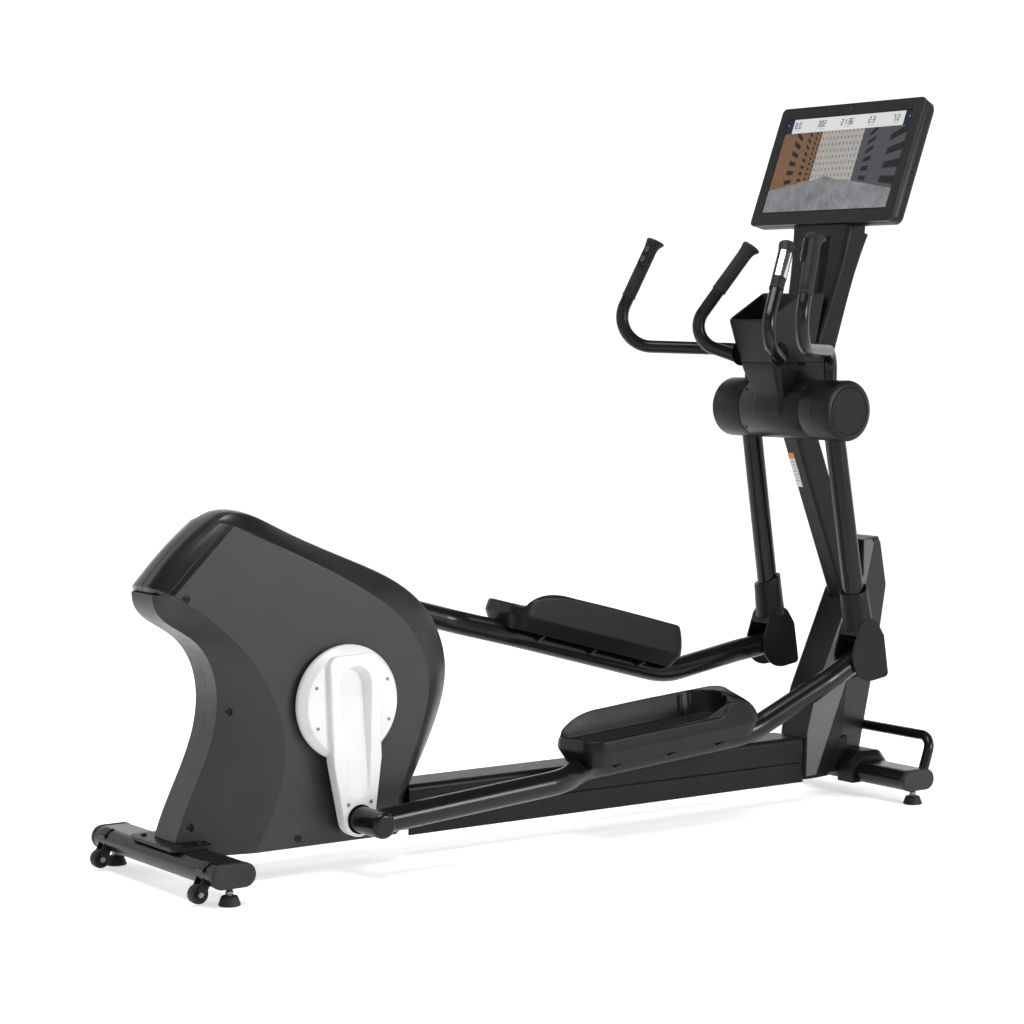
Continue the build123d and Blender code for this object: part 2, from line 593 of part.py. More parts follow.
def lower_tube(sign, radius, mode=Mode.ADD):
    top = arm_axis_plane(sign, lower_top, 165).origin
    end = arm_axis_plane(sign, lower_end, 174).origin
    with BuildLine() as path:
        Line(top, end)
    with BuildSketch(Plane(origin=top, z_dir=path.line % 0)) as section:
        Circle(radius)
    sweep(section.sketch, path=path.line, mode=mode)


fork_frame = {"x": joint_x, "z": joint_z, "turn": arm_lean}
fork_half, fork_gap_half = 37.5, 32.0


def end_plane(sign, bend, end, distance):
    """Plane square to the last straight run of a handle, at a distance back from its end."""
    low = Vector(*across(bend[0], sign * bend[1], bend[2]))
    high = Vector(*across(end[0], sign * end[1], end[2]))
    along = (high - low).normalized()
    return Plane(origin=high - along * distance, z_dir=along)


def grip_plane(sign, distance):
    """Plane square to the moving grip, at a distance above its lower edge."""
    return end_plane(sign, handle_points[-2], handle_points[-1], grip_length - 10 - distance)


keypad_at, keypad_length, keypad_width, button_travel = 104.0, 62.0, 21.0, 1.2


def keypad_plane(sign, height):
    """Plane of the thumb buttons, facing back and inwards from the grip."""
    middle = grip_plane(sign, keypad_at)
    facing = Vector(-0.86, -sign * 0.51, 0)
    facing = (facing - middle.z_dir * facing.dot(middle.z_dir)).normalized()
    return Plane(origin=middle.origin + facing * height, x_dir=middle.z_dir, z_dir=facing)


for hand, sign in (("left", 1), ("right", -1)):
    with BuildPart() as drum:
        bevel = 7.0
        profile = [(0, drum_in), (drum_radius, drum_in), (drum_radius, drum_half - bevel),
                   (drum_radius - bevel, drum_half), (0, drum_half)]
        with BuildSketch(Plane.XY.offset(pivot_z)) as half_section:
            with BuildLine():
                Polyline(*[across(pivot_x + radius, sign * y, 0)[:2] for radius, y in profile], close=True)
            make_face()
        revolve(half_section.sketch, axis=Axis(across(pivot_x, 0, pivot_z), (0, 1, 0)))
        disc(pivot_x, pivot_z, sign * (drum_in + 5), sign * (drum_half - 6), drum_radius - 6,
             mode=Mode.SUBTRACT)
        disc(pivot_x, pivot_z, sign * drum_in, sign * (drum_half - 5), hub_radius)
        disc(pivot_x, pivot_z, sign * (drum_in - 1), sign * (drum_half - 11), axle_radius + running_gap,
             mode=Mode.SUBTRACT)
        disc(pivot_x, pivot_z, sign * 127.5, sign * 142.5, 27.1, mode=Mode.SUBTRACT)
        disc(pivot_x, pivot_z, sign * (drum_half - 2), sign * (drum_half + 1), cap_radius + 1.5,
             mode=Mode.SUBTRACT)
        disc(pivot_x, pivot_z, sign * (drum_half - 2), sign * drum_half, cap_radius)
        lower_tube(sign, arm_tube_radius + 0.2, Mode.SUBTRACT)
        handle_tube(sign, handle_radius + 0.2, Mode.SUBTRACT)
    keep(drum.part, f"drum_{hand}")

    with BuildPart() as lower_arm:
        lower_tube(sign, arm_tube_radius)
        lower_tube(sign, arm_tube_radius - 3, Mode.SUBTRACT)
        disc(pivot_x, pivot_z, sign * 120, sign * 220, hub_radius + 0.2, mode=Mode.SUBTRACT)
    keep(lower_arm.part, f"lower_arm_{hand}")

    with BuildPart() as handle:
        handle_tube(sign, handle_radius)
        handle_tube(sign, handle_radius - tube_wall, Mode.SUBTRACT)
    keep(handle.part, f"handle_{hand}")

    with BuildPart() as fork:
        with BuildSketch(arm_axis_plane(sign, socket_top, 173)) as rim:
            Circle(36)
        with BuildSketch(arm_axis_plane(sign, socket_top + 92, 176)) as root:
            Circle(40)
        loft(sections=[rim.sketch, root.sketch])
        inner, outer = sign * (joint_y - fork_half), sign * (joint_y + fork_half)
        hull_prism(inner, outer, [(0, 0, 66), (40, -54, 12), (2, 62, 38)], fork_frame)
        hull_prism(inner, outer, [(82, 60, 30), (82, -110, 30)], fork_frame, Mode.SUBTRACT)
        inner, outer = sign * (joint_y - fork_gap_half), sign * (joint_y + fork_gap_half)
        hull_prism(inner, outer, [(0, 0, 34), (-90, 52, 34), (-90, -90, 34), (0, -110, 34), (52, -90, 34)],
                   fork_frame, Mode.SUBTRACT)
        hull_prism(inner, outer, [(0, 0, 35), (60, -20, 35)], fork_frame, Mode.SUBTRACT)
        lower_tube(sign, arm_tube_radius + 0.1, Mode.SUBTRACT)
        disc(joint_x, joint_z, sign * (joint_y - 35), sign * (joint_y + 35), 10)
    keep(fork.part, f"fork_{hand}")

    with BuildPart() as grip:
        sections = ((0, 20.0), (grip_length - 12, 19.0), (grip_length - 2, 26.0), (grip_length + 3, 25.0))
        for (low, radius_low), (high, radius_high) in zip(sections, sections[1:]):
            with BuildSketch(grip_plane(sign, low)) as lower_ring:
                Circle(radius_low)
            with BuildSketch(grip_plane(sign, high)) as upper_ring:
                Circle(radius_high)
            loft(sections=[lower_ring.sketch, upper_ring.sketch])
        handle_tube(sign, handle_radius + 0.1, Mode.SUBTRACT)
        with BuildSketch(keypad_plane(sign, 12)) as seat:
            Rectangle(keypad_length + 0.6, keypad_width + 0.6)
        extrude(seat.sketch, amount=20, mode=Mode.SUBTRACT)
    keep(grip.part, f"grip_{hand}")

    with BuildPart() as keypad:
        with BuildSketch(keypad_plane(sign, 17.5)) as body:
            RectangleRounded(keypad_length, keypad_width, 5)
        extrude(body.sketch, amount=8)
        chamfer(keypad.faces().sort_by(Axis(keypad_plane(sign, 0).origin, keypad_plane(sign, 0).z_dir))[-1]
                .edges(), 1.5)
        with BuildSketch(keypad_plane(sign, 20.5)) as wells:
            with Locations((14, 0), (-14, 0)):
                SlotOverall(19, 12)
        extrude(wells.sketch, amount=10, mode=Mode.SUBTRACT)
        handle_tube(sign, handle_radius + 0.1, Mode.SUBTRACT)
    keep(keypad.part, f"keypad_{hand}")

    for place, shift in (("up", 14), ("down", -14)):
        with BuildPart() as button:
            with BuildSketch(keypad_plane(sign, 20.5 + button_travel + 0.4)) as body:
                with Locations((shift, 0)):
                    SlotOverall(18.2, 11.2)
            extrude(body.sketch, amount=5.2)
        keep(button.part, f"button_{place}_{hand}")

# ---- pedal arms and pedals ---------------------------------------------------------------------------------
hub_in, hub_out, hub_tube_radius = arm_front + 2, 265.0, 31.0
straight_drop = 0.0995
pedal_rear, pedal_front, pedal_in, pedal_out = 630.0, 1190.0, 52.0, 230.0
rim_high, wall_high, floor_high, skirt_low = 75.0, 122.0, 58.0, 15.0
pedal_tube_y = 135.0
pedal_arm_bends = [150, 150, 260, 200]



def pedal_plane(pin, turn, height):
    """Plane along the straight run of a pedal arm, at a height above its centre line."""
    pin_x, pin_z = pin
    upward = (-sin(radians(turn)), 0, cos(radians(turn)))
    return Plane(origin=across(pin_x + height * upward[0], 0, pin_z + height * upward[2]),
                 x_dir=(upward[2], 0, -upward[0]), z_dir=upward)


def pedal_outline(sign, inset):
    with Locations(((pedal_rear + pedal_front) / 2, sign * (pedal_in + pedal_out) / 2)):
        RectangleRounded(pedal_front - pedal_rear - 2 * inset, pedal_out - pedal_in - 2 * inset,
                         46 - inset / 2)


for hand, sign in (("left", 1), ("right", -1)):
    pin = pin_x, pin_z = crank_pin(sign)
    length = hypot(joint_x - pin_x, joint_z - pin_z)
    tube_turn = degrees(atan2(joint_z - pin_z, joint_x - pin_x) - atan(straight_drop))

    with BuildPart() as pedal_arm:
        route = [(0, 212), (545, 208), (668, pedal_tube_y), (1195, pedal_tube_y)]
        points = [link_point(pin, s, -straight_drop * s, sign * y) for s, y in route]
        points.append(link_point(pin, length - 128, -128 * 0.295, sign * joint_y))
        points.append(link_point(pin, length, 0, sign * joint_y))
        round_tube(points, pedal_arm_bends, tube_radius)
        round_tube(points, pedal_arm_bends, tube_radius - tube_wall, Mode.SUBTRACT)
        disc(pin_x, pin_z, sign * hub_in, sign * hub_out, hub_tube_radius)
        fillet(pedal_arm.edges().filter_by(GeomType.CIRCLE).sort_by(Axis.Y)[-1 if sign > 0 else 0], 12)
        disc(joint_x, joint_z, sign * (joint_y - 31), sign * (joint_y + 31), tube_radius + 1.5)
        disc(joint_x, joint_z, sign * (joint_y - 60), sign * (joint_y + 60), 10 + running_gap,
             mode=Mode.SUBTRACT)
    keep(pedal_arm.part, f"pedal_arm_{hand}")

    with BuildPart() as pedal:
        with BuildSketch(pedal_plane(pin, tube_turn, skirt_low)) as outline:
            pedal_outline(sign, 0)
        extrude(outline.sketch, amount=rim_high - skirt_low)
        with BuildSketch(pedal_plane(pin, tube_turn, rim_high)) as wall_ring:
            pedal_outline(sign, 0)
            with Locations((pedal_rear, sign * pedal_out)):
                Rectangle(2 * (pedal_front - pedal_rear) - 150, 2 * (pedal_out - pedal_in) - 26,
                          mode=Mode.SUBTRACT)
        extrude(wall_ring.sketch, amount=wall_high - rim_high)
        with BuildSketch(pedal_plane(pin, tube_turn, floor_high)) as well:
            pedal_outline(sign, 10)
        extrude(well.sketch, amount=90, mode=Mode.SUBTRACT)
        with BuildSketch(pedal_plane(pin, tube_turn, skirt_low)) as underside:
            pedal_outline(sign, 7)
            with Locations(*[(pedal_rear + step, sign * 141) for step in (110, 275, 440)]):
                Rectangle(6, 200, mode=Mode.SUBTRACT)
        extrude(underside.sketch, amount=floor_high - skirt_low - 6, mode=Mode.SUBTRACT)
        round_tube(points, pedal_arm_bends, tube_radius + 0.6, Mode.SUBTRACT)
    keep(pedal.part, f"pedal_{hand}")

# ---- tray, console mast and fixed handles --------------------------------------------------------------
tilt = radians(screen_tilt)


def monitor_point(out, up):
    """Side-view point at a distance out of the screen and up along it from its centre."""
    return (monitor_x - out * cos(tilt) + up * sin(tilt), monitor_z + out * sin(tilt) + up * cos(tilt))


tray_half, tray_wall = 78.0, 4.0
with BuildPart() as tray_base:
    with BuildSketch(side(tray_half)) as outline:
        with BuildLine():
            Polyline((712, 1174), (744, 1086), (760, 1070), (890, 1080), (915, 1174), close=True)
        make_face()
    extrude(outline.sketch, amount=2 * tray_half)
    fillet(tray_base.edges().group_by(Axis.X)[0], 14)
    disc(pivot_x, pivot_z, -100, 100, drum_radius + 0.1, mode=Mode.SUBTRACT)
keep(tray_base.part, "tray_base")

with BuildPart() as tray_bin:
    with BuildSketch(side(tray_half)) as outline:
        with BuildLine():
            Polyline((712, 1174.4), (675, 1281), (798, 1356), (878, 1356), (836, 1174.4), close=True)
        make_face()
    extrude(outline.sketch, amount=2 * tray_half)
    fillet(tray_bin.edges().filter_by(lambda edge: edge.center().X < datum_x + 705
                                      and abs(edge.center().Y) > tray_half - 1
                                      and edge.length > 90), 14)
    with BuildSketch(side(tray_half - tray_wall)) as hollow:
        with BuildLine():
            Polyline((719, 1182), (682, 1281), (680, 1300), (790, 1372), (792, 1182), close=True)
        make_face()
    extrude(hollow.sketch, amount=2 * (tray_half - tray_wall), mode=Mode.SUBTRACT)
keep(tray_bin.part, "tray_bin")

mast_sections = ((1174.6, 837, 916, 72), (1300, 877, 947, 84), (1440, 914, 982, 102), (1560, 932, 1034, 113))
with BuildPart() as console_body:
    rings = []
    for z, x_rear, x_front, half in mast_sections:
        with BuildSketch(Plane.XY.offset(z)) as ring:
            with Locations((datum_x + (x_rear + x_front) / 2, 0)):
                RectangleRounded(x_front - x_rear, 2 * half, 12)
        rings.append(ring.sketch)
    loft(sections=rings)
    with BuildSketch(side(150)) as above:
        with BuildLine():
            Polyline((880, 1558.2), (1060, 1490), (1060, 1600), (880, 1600), close=True)
        make_face()
    extrude(above.sketch, amount=300, mode=Mode.SUBTRACT)
    with BuildSketch(side(tray_half + 5)) as bin_room:
        with BuildLine():
            Polyline((790, 1170), (836.4, 1174.4), (878.4, 1356.4), (790, 1356.4), close=True)
        make_face()
    extrude(bin_room.sketch, amount=2 * tray_half + 10, mode=Mode.SUBTRACT)

with BuildPart() as monitor_yoke:
    with BuildSketch(side(60)) as outline:
        with BuildLine():
            Polyline((985, 1518), (1034, 1499.5), monitor_point(-80, -15), monitor_point(-50.4, -15),
                     monitor_point(-50.4, -130), close=True)
        make_face()
    extrude(outline.sketch, amount=120)

seam_line = [(880, 1170), (912, 1300), (948, 1440), (984, 1600)]
for name, far_x in (("console_mast_rear", 780), ("console_mast_front", 1100)):
    with BuildPart() as console_shell:
        add(console_body.part)
        with BuildSketch(side(160)) as region:
            with BuildLine():
                Polyline(*seam_line, (far_x, 1600), (far_x, 1170), close=True)
            make_face()
        extrude(region.sketch, amount=320, mode=Mode.INTERSECT)
        if name == "console_mast_front":
            add(monitor_yoke.part)
    keep(console_shell.part, name)

fixed_root, fixed_bend, fixed_end = (722, 80, 1186), (596, 160, 1238), (749, 73, 1481)
fixed_length = 144.0


def fixed_plane(sign, distance):
    """Plane square to the fixed grip, at a distance above its lower edge."""
    return end_plane(sign, fixed_bend, fixed_end, fixed_length - 3 - distance)


with BuildPart() as fixed_handles:
    for sign in (1, -1):
        route = [across(x, sign * y, z) for x, y, z in (fixed_root, fixed_bend, fixed_end)]
        round_tube(route, [62], handle_radius)
        round_tube(route, [62], handle_radius - tube_wall, Mode.SUBTRACT)
    block(600, 800, tray_half + 0.1, 1150, 1215, mode=Mode.SUBTRACT)
keep(fixed_handles.part, "fixed_handles")

plate_angle = 70.0


def plate_plane(sign, distance):
    """Plane square to the fixed grip whose x points outwards from the machine."""
    square = fixed_plane(sign, distance)
    outward = Vector(-0.25, sign, 0)
    outward = outward - square.z_dir * outward.dot(square.z_dir)
    return Plane(origin=square.origin, x_dir=outward, z_dir=square.z_dir)


def plate_ring(inner, outer, half_angle):
    """Part of a ring within an angle to each side of the x axis."""
    Circle(outer)
    Circle(inner, mode=Mode.SUBTRACT)
    reach = 3 * outer
    with BuildLine() as wedge:
        edge = (reach * cos(radians(half_angle)), reach * sin(radians(half_angle)))
        Polyline((0, 0), edge, (reach, 0), (edge[0], -edge[1]), close=True)
    make_face(wedge.edges(), mode=Mode.INTERSECT)


with BuildPart() as fixed_grips:
    for sign in (1, -1):
        sections = ((0, 19.5), (fixed_length - 10, 19.5), (fixed_length - 2, 23), (fixed_length + 4, 22))
        for (low, radius_low), (high, radius_high) in zip(sections, sections[1:]):
            with BuildSketch(fixed_plane(sign, low)) as lower_ring:
                Circle(radius_low)
            with BuildSketch(fixed_plane(sign, high)) as upper_ring:
                Circle(radius_high)
            loft(sections=[lower_ring.sketch, upper_ring.sketch])
    for sign in (1, -1):
        with BuildSketch(fixed_plane(sign, -40)) as core:
            Circle(handle_radius + 0.1)
        extrude(core.sketch, amount=40 + fixed_length - 2, mode=Mode.SUBTRACT)
        with BuildSketch(plate_plane(sign, 30)) as plate_room:
            plate_ring(18.1, 30, plate_angle + 1)
        extrude(plate_room.sketch, amount=82, mode=Mode.SUBTRACT)
keep(fixed_grips.part, "fixed_grips")

with BuildPart() as pulse_plates:
    for sign in (1, -1):
        with BuildSketch(plate_plane(sign, 30.3)) as plates:
            plate_ring(18.3, 20, plate_angle)
            Rectangle(50, 1.6, mode=Mode.SUBTRACT)
        extrude(plates.sketch, amount=81.4)
keep(pulse_plates.part, "pulse_plates")

# ---- monitor ------------------------------------------------------------------------------------------------
def screen_plane(forward=0.0):
    """Plane of the screen, facing the user; forward moves it out of the back of the monitor."""
    out = Vector(-cos(tilt), 0, sin(tilt))
    return Plane(origin=Vector(*across(monitor_x, 0, monitor_z)) + out * forward,
                 x_dir=(0, -1, 0), z_dir=out)


monitor_height, monitor_shift = monitor_up + monitor_down, (monitor_up - monitor_down) / 2


def monitor_face(inset, radius):
    with Locations((0, monitor_shift)):
        RectangleRounded(2 * monitor_half - 2 * inset, monitor_height - 2 * inset, radius)


with BuildPart() as monitor_frame:
    with BuildSketch(screen_plane(-7)) as outline:
        monitor_face(0, 14)
    extrude(outline.sketch, amount=8)
    with BuildSketch(screen_plane(-8)) as window:
        Rectangle(screen_width + 6, screen_height + 6)
    extrude(window.sketch, amount=12, mode=Mode.SUBTRACT)
keep(monitor_frame.part, "monitor_frame")

with BuildPart() as screen_glass:
    with BuildSketch(screen_plane(-6)) as outline:
        Rectangle(screen_width + 5.4, screen_height + 5.4)
    extrude(outline.sketch, amount=6)
keep(screen_glass.part, "screen_glass")

with BuildPart() as monitor_back:
    steps = ((-7.3, 0, 14), (-26, 1, 14), (-40, 26, 30), (-50, 70, 40))
    rings = []
    for forward, inset, radius in steps:
        with BuildSketch(screen_plane(forward)) as ring:
            monitor_face(inset, radius)
        rings.append(ring.sketch)
    loft(sections=rings, ruled=True)
    with BuildSketch(screen_plane(-32)) as hollow:
        monitor_face(34, 20)
    extrude(hollow.sketch, amount=18, mode=Mode.SUBTRACT)
keep(monitor_back.part, "monitor_back")
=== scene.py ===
import bmesh
import bpy
from math import asin, atan2, cos, hypot, pi, radians, sin, sqrt
import numpy as np
from mathutils import Matrix, Vector


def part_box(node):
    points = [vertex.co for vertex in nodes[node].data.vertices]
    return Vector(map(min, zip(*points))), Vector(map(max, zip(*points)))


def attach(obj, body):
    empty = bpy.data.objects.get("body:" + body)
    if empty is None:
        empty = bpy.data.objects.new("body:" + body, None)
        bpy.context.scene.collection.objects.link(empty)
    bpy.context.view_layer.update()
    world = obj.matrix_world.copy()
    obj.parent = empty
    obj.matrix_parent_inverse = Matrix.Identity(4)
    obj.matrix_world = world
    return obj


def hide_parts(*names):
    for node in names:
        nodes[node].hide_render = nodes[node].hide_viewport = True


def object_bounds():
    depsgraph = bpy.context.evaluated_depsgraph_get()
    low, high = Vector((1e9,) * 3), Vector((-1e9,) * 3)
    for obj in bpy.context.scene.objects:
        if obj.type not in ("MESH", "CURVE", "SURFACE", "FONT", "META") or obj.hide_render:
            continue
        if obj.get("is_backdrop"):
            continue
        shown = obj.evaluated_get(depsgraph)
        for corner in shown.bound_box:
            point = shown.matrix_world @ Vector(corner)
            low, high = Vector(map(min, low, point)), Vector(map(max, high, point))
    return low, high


# Elliptical trainer, in metres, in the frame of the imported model. Lengths along X are given from
# the same datum as in the CAD source; the crank axle's place says where that datum is.
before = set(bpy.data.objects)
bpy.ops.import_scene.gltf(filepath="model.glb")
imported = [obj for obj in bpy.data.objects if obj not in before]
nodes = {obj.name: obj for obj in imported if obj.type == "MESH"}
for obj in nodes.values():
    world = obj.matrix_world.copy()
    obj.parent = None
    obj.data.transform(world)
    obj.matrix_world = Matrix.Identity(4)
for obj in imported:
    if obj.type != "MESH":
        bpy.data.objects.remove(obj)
cad_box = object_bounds()
scene = bpy.context.scene

crank_x, crank_z, crank_radius, crank_turn = -0.638, 0.398, 0.270, radians(2.0)
pivot_x, pivot_z = 0.827, 1.050
arm_length, arm_lean = 0.658, radians(9.04)
hands = (("left", 1), ("right", -1))


def crank_pin(sign):
    return crank_x - sign * crank_radius * sin(crank_turn), crank_z + sign * crank_radius * cos(crank_turn)


joint_x = pivot_x + arm_length * sin(arm_lean)
joint_z = pivot_z - arm_length * cos(arm_lean)
axle_low, axle_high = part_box("crank_axle")
datum = (axle_low.x + axle_high.x) / 2 - crank_x

# ---- materials ------------------------------------------------------------------------------


class Tree:
    """Shorthand for building a node tree."""

    def __init__(self, name):
        self.material = bpy.data.materials.new(name)
        self.material.use_nodes = True
        self.nodes = self.material.node_tree.nodes
        self.nodes.clear()
        self.shader = self.add("ShaderNodeBsdfPrincipled")
        self.out = self.add("ShaderNodeOutputMaterial")
        self.link(self.shader, "BSDF", self.out, "Surface")
        self.coords = self.add("ShaderNodeTexCoord")

    def add(self, kind, **values):
        node = self.nodes.new(kind)
        for key, value in values.items():
            setattr(node, key, value)
        return node

    def link(self, a, out, b, into):
        self.material.node_tree.links.new(a.outputs[out], b.inputs[into])

    def noise(self, size, detail=3.0, rough=0.55, stretch=None):
        node = self.add("ShaderNodeTexNoise")
        node.inputs["Scale"].default_value = 1.0 / size
        node.inputs["Detail"].default_value = detail
        node.inputs["Roughness"].default_value = rough
        if stretch is None:
            self.link(self.coords, "Object", node, "Vector")
        else:
            mapping = self.add("ShaderNodeMapping")
            mapping.inputs["Scale"].default_value = stretch
            self.link(self.coords, "Object", mapping, "Vector")
            self.link(mapping, "Vector", node, "Vector")
        return node

    def ramp(self, source, out, low, high, to_low, to_high):
        node = self.add("ShaderNodeMapRange")
        for name, value in (("From Min", low), ("From Max", high), ("To Min", to_low), ("To Max", to_high)):
            node.inputs[name].default_value = value
        self.link(source, out, node, "Value")
        return node

    def mix(self, factor, out, first, second, blend="MIX"):
        """Mix of two colours, each a tuple or a (node, output) pair."""
        node = self.add("ShaderNodeMix", data_type="RGBA", blend_type=blend)
        if isinstance(factor, (int, float)):
            node.inputs["Factor"].default_value = factor
        else:
            self.link(factor, out, node, "Factor")
        for socket, value in ((6, first), (7, second)):
            if isinstance(value[0], float):
                node.inputs[socket].default_value = (*value, 1.0)
            else:
                self.material.node_tree.links.new(value[0].outputs[value[1]], node.inputs[socket])
        return node

    def bump(self, source, out, distance, strength=1.0, under=None):
        node = self.add("ShaderNodeBump")
        node.inputs["Distance"].default_value = distance
        node.inputs["Strength"].default_value = strength
        self.link(source, out, node, "Height")
        if under is not None:
            self.link(under, "Normal", node, "Normal")
        return node


def grey(value, warm=0.0):
    return (value * (1 + warm), value, value * (1 - warm))


def finish_of(name, colour, rough, level=0.5, metal=0.0, coat=0.0, coat_rough=0.1, grain=0.0012,
              grain_depth=0.00003, mottle=0.12, rough_spread=0.06, round_edge=0.0016, edge_highlight=0.25,
              brushed=None):
    """Painted, moulded or bare metal finish: fine grain, slight mottling, and soft rounded edges painted
    paler in patches as a painted highlight.
    """
    t = Tree(name)
    cloud = t.noise(0.11, 5.0, 0.6)
    fine = t.noise(grain, 2.0, 0.5, brushed)
    smudge = t.noise(0.035, 6.0, 0.65)
    dark = tuple(c * (1 - mottle) for c in colour)
    light = tuple(min(1.0, c * (1 + mottle) + 0.001) for c in colour)
    body = t.mix(t.ramp(cloud, "Fac", 0.35, 0.65, 0.0, 1.0), "Result", dark, light)
    rounded, paint = None, body
    if round_edge:
        rounded = t.add("ShaderNodeBevel", samples=4)
        rounded.inputs["Radius"].default_value = round_edge
        geometry = t.add("ShaderNodeNewGeometry")
        facing = t.add("ShaderNodeVectorMath", operation="DOT_PRODUCT")
        t.link(rounded, "Normal", facing, 0)
        t.link(geometry, "Normal", facing, 1)
        # painted highlight: the rounded edges are painted paler, by the amount given, in patches set by the
        # smudge noise
        edge = t.ramp(facing, "Value", 0.97, 0.80, 0.0, edge_highlight)
        edge_highlight_mask = t.add("ShaderNodeMath", operation="MULTIPLY")
        t.link(edge, "Result", edge_highlight_mask, 0)
        t.link(t.ramp(smudge, "Fac", 0.3, 0.6, 0.3, 1.0), "Result", edge_highlight_mask, 1)
        pale = tuple(min(1.0, c * 1.5 + 0.012) for c in colour)
        paint = t.mix(edge_highlight_mask, "Value", (body, 2), pale)
    t.link(paint, 2, t.shader, "Base Color")
    t.link(t.ramp(smudge, "Fac", 0.3, 0.7, rough - rough_spread, rough + rough_spread), "Result",
           t.shader, "Roughness")
    t.link(t.bump(fine, "Fac", grain_depth, 1.0, rounded), "Normal", t.shader, "Normal")
    t.shader.inputs["Metallic"].default_value = metal
    t.shader.inputs["Specular IOR Level"].default_value = level
    t.shader.inputs["Coat Weight"].default_value = coat
    t.shader.inputs["Coat Roughness"].default_value = coat_rough
    return t.material


tube_paint = finish_of("paint_tube_black", grey(0.004), 0.25, 0.24, grain=0.0016, grain_depth=0.000006,
                       round_edge=0, mottle=0.08, rough_spread=0.02)
steel_paint = finish_of("paint_steel_black", grey(0.005), 0.34, 0.18, grain=0.0011, grain_depth=0.00002,
                        rough_spread=0.03)
moulded = finish_of("plastic_black", grey(0.005), 0.38, 0.16, grain=0.0009, grain_depth=0.00003, mottle=0.08,
                    rough_spread=0.03)
charcoal = finish_of("plastic_charcoal", grey(0.018), 0.50, 0.22, grain=0.0009, grain_depth=0.00006)
panel_paint = finish_of("panel_satin_grey", grey(0.017), 0.38, 0.34, grain=0.0012, grain_depth=0.00002,
                        mottle=0.05, round_edge=0.0025)
gloss = finish_of("plastic_gloss_black", grey(0.006), 0.32, 0.30, coat=0.12, coat_rough=0.14,
                  rough_spread=0.02,
                  grain=0.0020, grain_depth=0.000006, mottle=0.05, round_edge=0.0030, edge_highlight=0.1)
silver = finish_of("paint_silver_grey", grey(0.085), 0.42, 0.45, metal=0.2, mottle=0.06)
white_paint = finish_of("paint_crank_white", grey(0.62), 0.34, 0.40, mottle=0.02,
                        grain=0.0014, grain_depth=0.00002, edge_highlight=0.1)
rubber = finish_of("rubber_grip", grey(0.008), 0.55, 0.20, grain=0.0011, grain_depth=0.00010, mottle=0.15)
foot_rubber = finish_of("rubber_foot", grey(0.010), 0.60, 0.30, grain=0.0016, grain_depth=0.00007)
chrome = finish_of("metal_chrome", grey(0.72), 0.16, 0.5, metal=1.0, mottle=0.05, rough_spread=0.05,
                   grain_depth=0.000004, edge_highlight=0.1, round_edge=0)
bare = finish_of("metal_steel", grey(0.42), 0.34, 0.5, metal=1.0, mottle=0.2, grain=0.0008,
                 brushed=(1.0, 1.0, 12.0))
cast = finish_of("metal_cast", grey(0.05), 0.5, 0.4, metal=0.3, mottle=0.25, grain=0.0014,
                 grain_depth=0.0001)
belt_rubber = finish_of("rubber_belt", grey(0.010), 0.7, 0.3, grain=0.002, grain_depth=0.0001)
nylon = finish_of("plastic_nylon", grey(0.016), 0.45, 0.4, grain=0.0012, grain_depth=0.00004)
bezel = finish_of("plastic_bezel_black", grey(0.008), 0.36, 0.24, grain=0.0012, grain_depth=0.00003,
                  round_edge=0.003, mottle=0.05)
key = finish_of("plastic_key_grey", grey(0.022), 0.5, 0.4, grain=0.0008, grain_depth=0.00004)
# flat, rough, barely glossy near-black: the colour of small black parts, and painted shade where it fills the
# crown's groove, the bin's socket wells and the console's recesses
flat_black_and_painted_shade = finish_of("plastic_black_and_painted_shade", grey(0.002), 0.75, 0.10, grain=0.0012, grain_depth=0.00004, edge_highlight=0.0)
tread_rubber = finish_of("rubber_tread", grey(0.006), 0.50, 0.20, grain=0.0012, grain_depth=0.00006)
screw_metal = finish_of("metal_screw", grey(0.20), 0.4, 0.5, metal=0.8, mottle=0.1, grain_depth=0.00001)
paper = finish_of("label_paper", grey(0.62), 0.5, 0.3, grain=0.0006, grain_depth=0.00001, mottle=0.03)
paper_grey = finish_of("label_rule", grey(0.30), 0.5, 0.3, grain=0.0006, grain_depth=0.00001)
paper_orange = finish_of("label_orange", (0.70, 0.20, 0.02), 0.5, 0.3, grain=0.0006, grain_depth=0.00001)

node_finish = [
    (tube_paint, ["rear_stabilizer", "front_stabilizer", "lift_handle", "fixed_handles",
                          "handle_left", "handle_right", "lower_arm_left", "lower_arm_right",
                          "pedal_arm_left", "pedal_arm_right"]),
    (steel_paint, ["base_beam", "mast", "caster_brackets", "drive_frame", "brake_magnet"]),
    (moulded, ["beam_cover", "base_covers", "drum_left", "drum_right", "pivot_housing",
                          "fork_left", "fork_right", "tray_base", "tray_bin", "console_mast_rear",
                          "console_mast_front", "monitor_back", "keypad_left", "keypad_right",
                          "pedal_left", "pedal_right"]),
    (charcoal, ["bar_end_caps"]),
    (panel_paint, ["shroud_left", "shroud_right"]),
    (gloss, ["shroud_crown"]),
    (silver, ["post_side_plates"]),
    (white_paint, ["crank_discs", "crank_arms"]),
    (rubber, ["grip_left", "grip_right", "fixed_grips"]),
    (foot_rubber, ["foot_rear_left", "foot_rear_right", "foot_front_left", "foot_front_right",
                           "caster_wheel_left", "caster_wheel_right"]),
    (chrome, ["pulse_plates"]),
    (bare, ["crank_axle", "pivot_axle", "bearings"]),
    (cast, ["flywheel"]),
    (belt_rubber, ["drive_belt"]),
    (nylon, ["drive_pulley"]),
    (bezel, ["monitor_frame", "screen_glass"]),
    (key, ["button_up_left", "button_up_right", "button_down_left", "button_down_right"]),
]
for material, names in node_finish:
    for name in names:
        mesh = nodes[name].data
        mesh.materials.clear()
        mesh.materials.append(material)

# ---- mesh helpers -----------------------------------------------------------------------------


def spot(x, y, z):
    return Vector((datum + x, y, z))


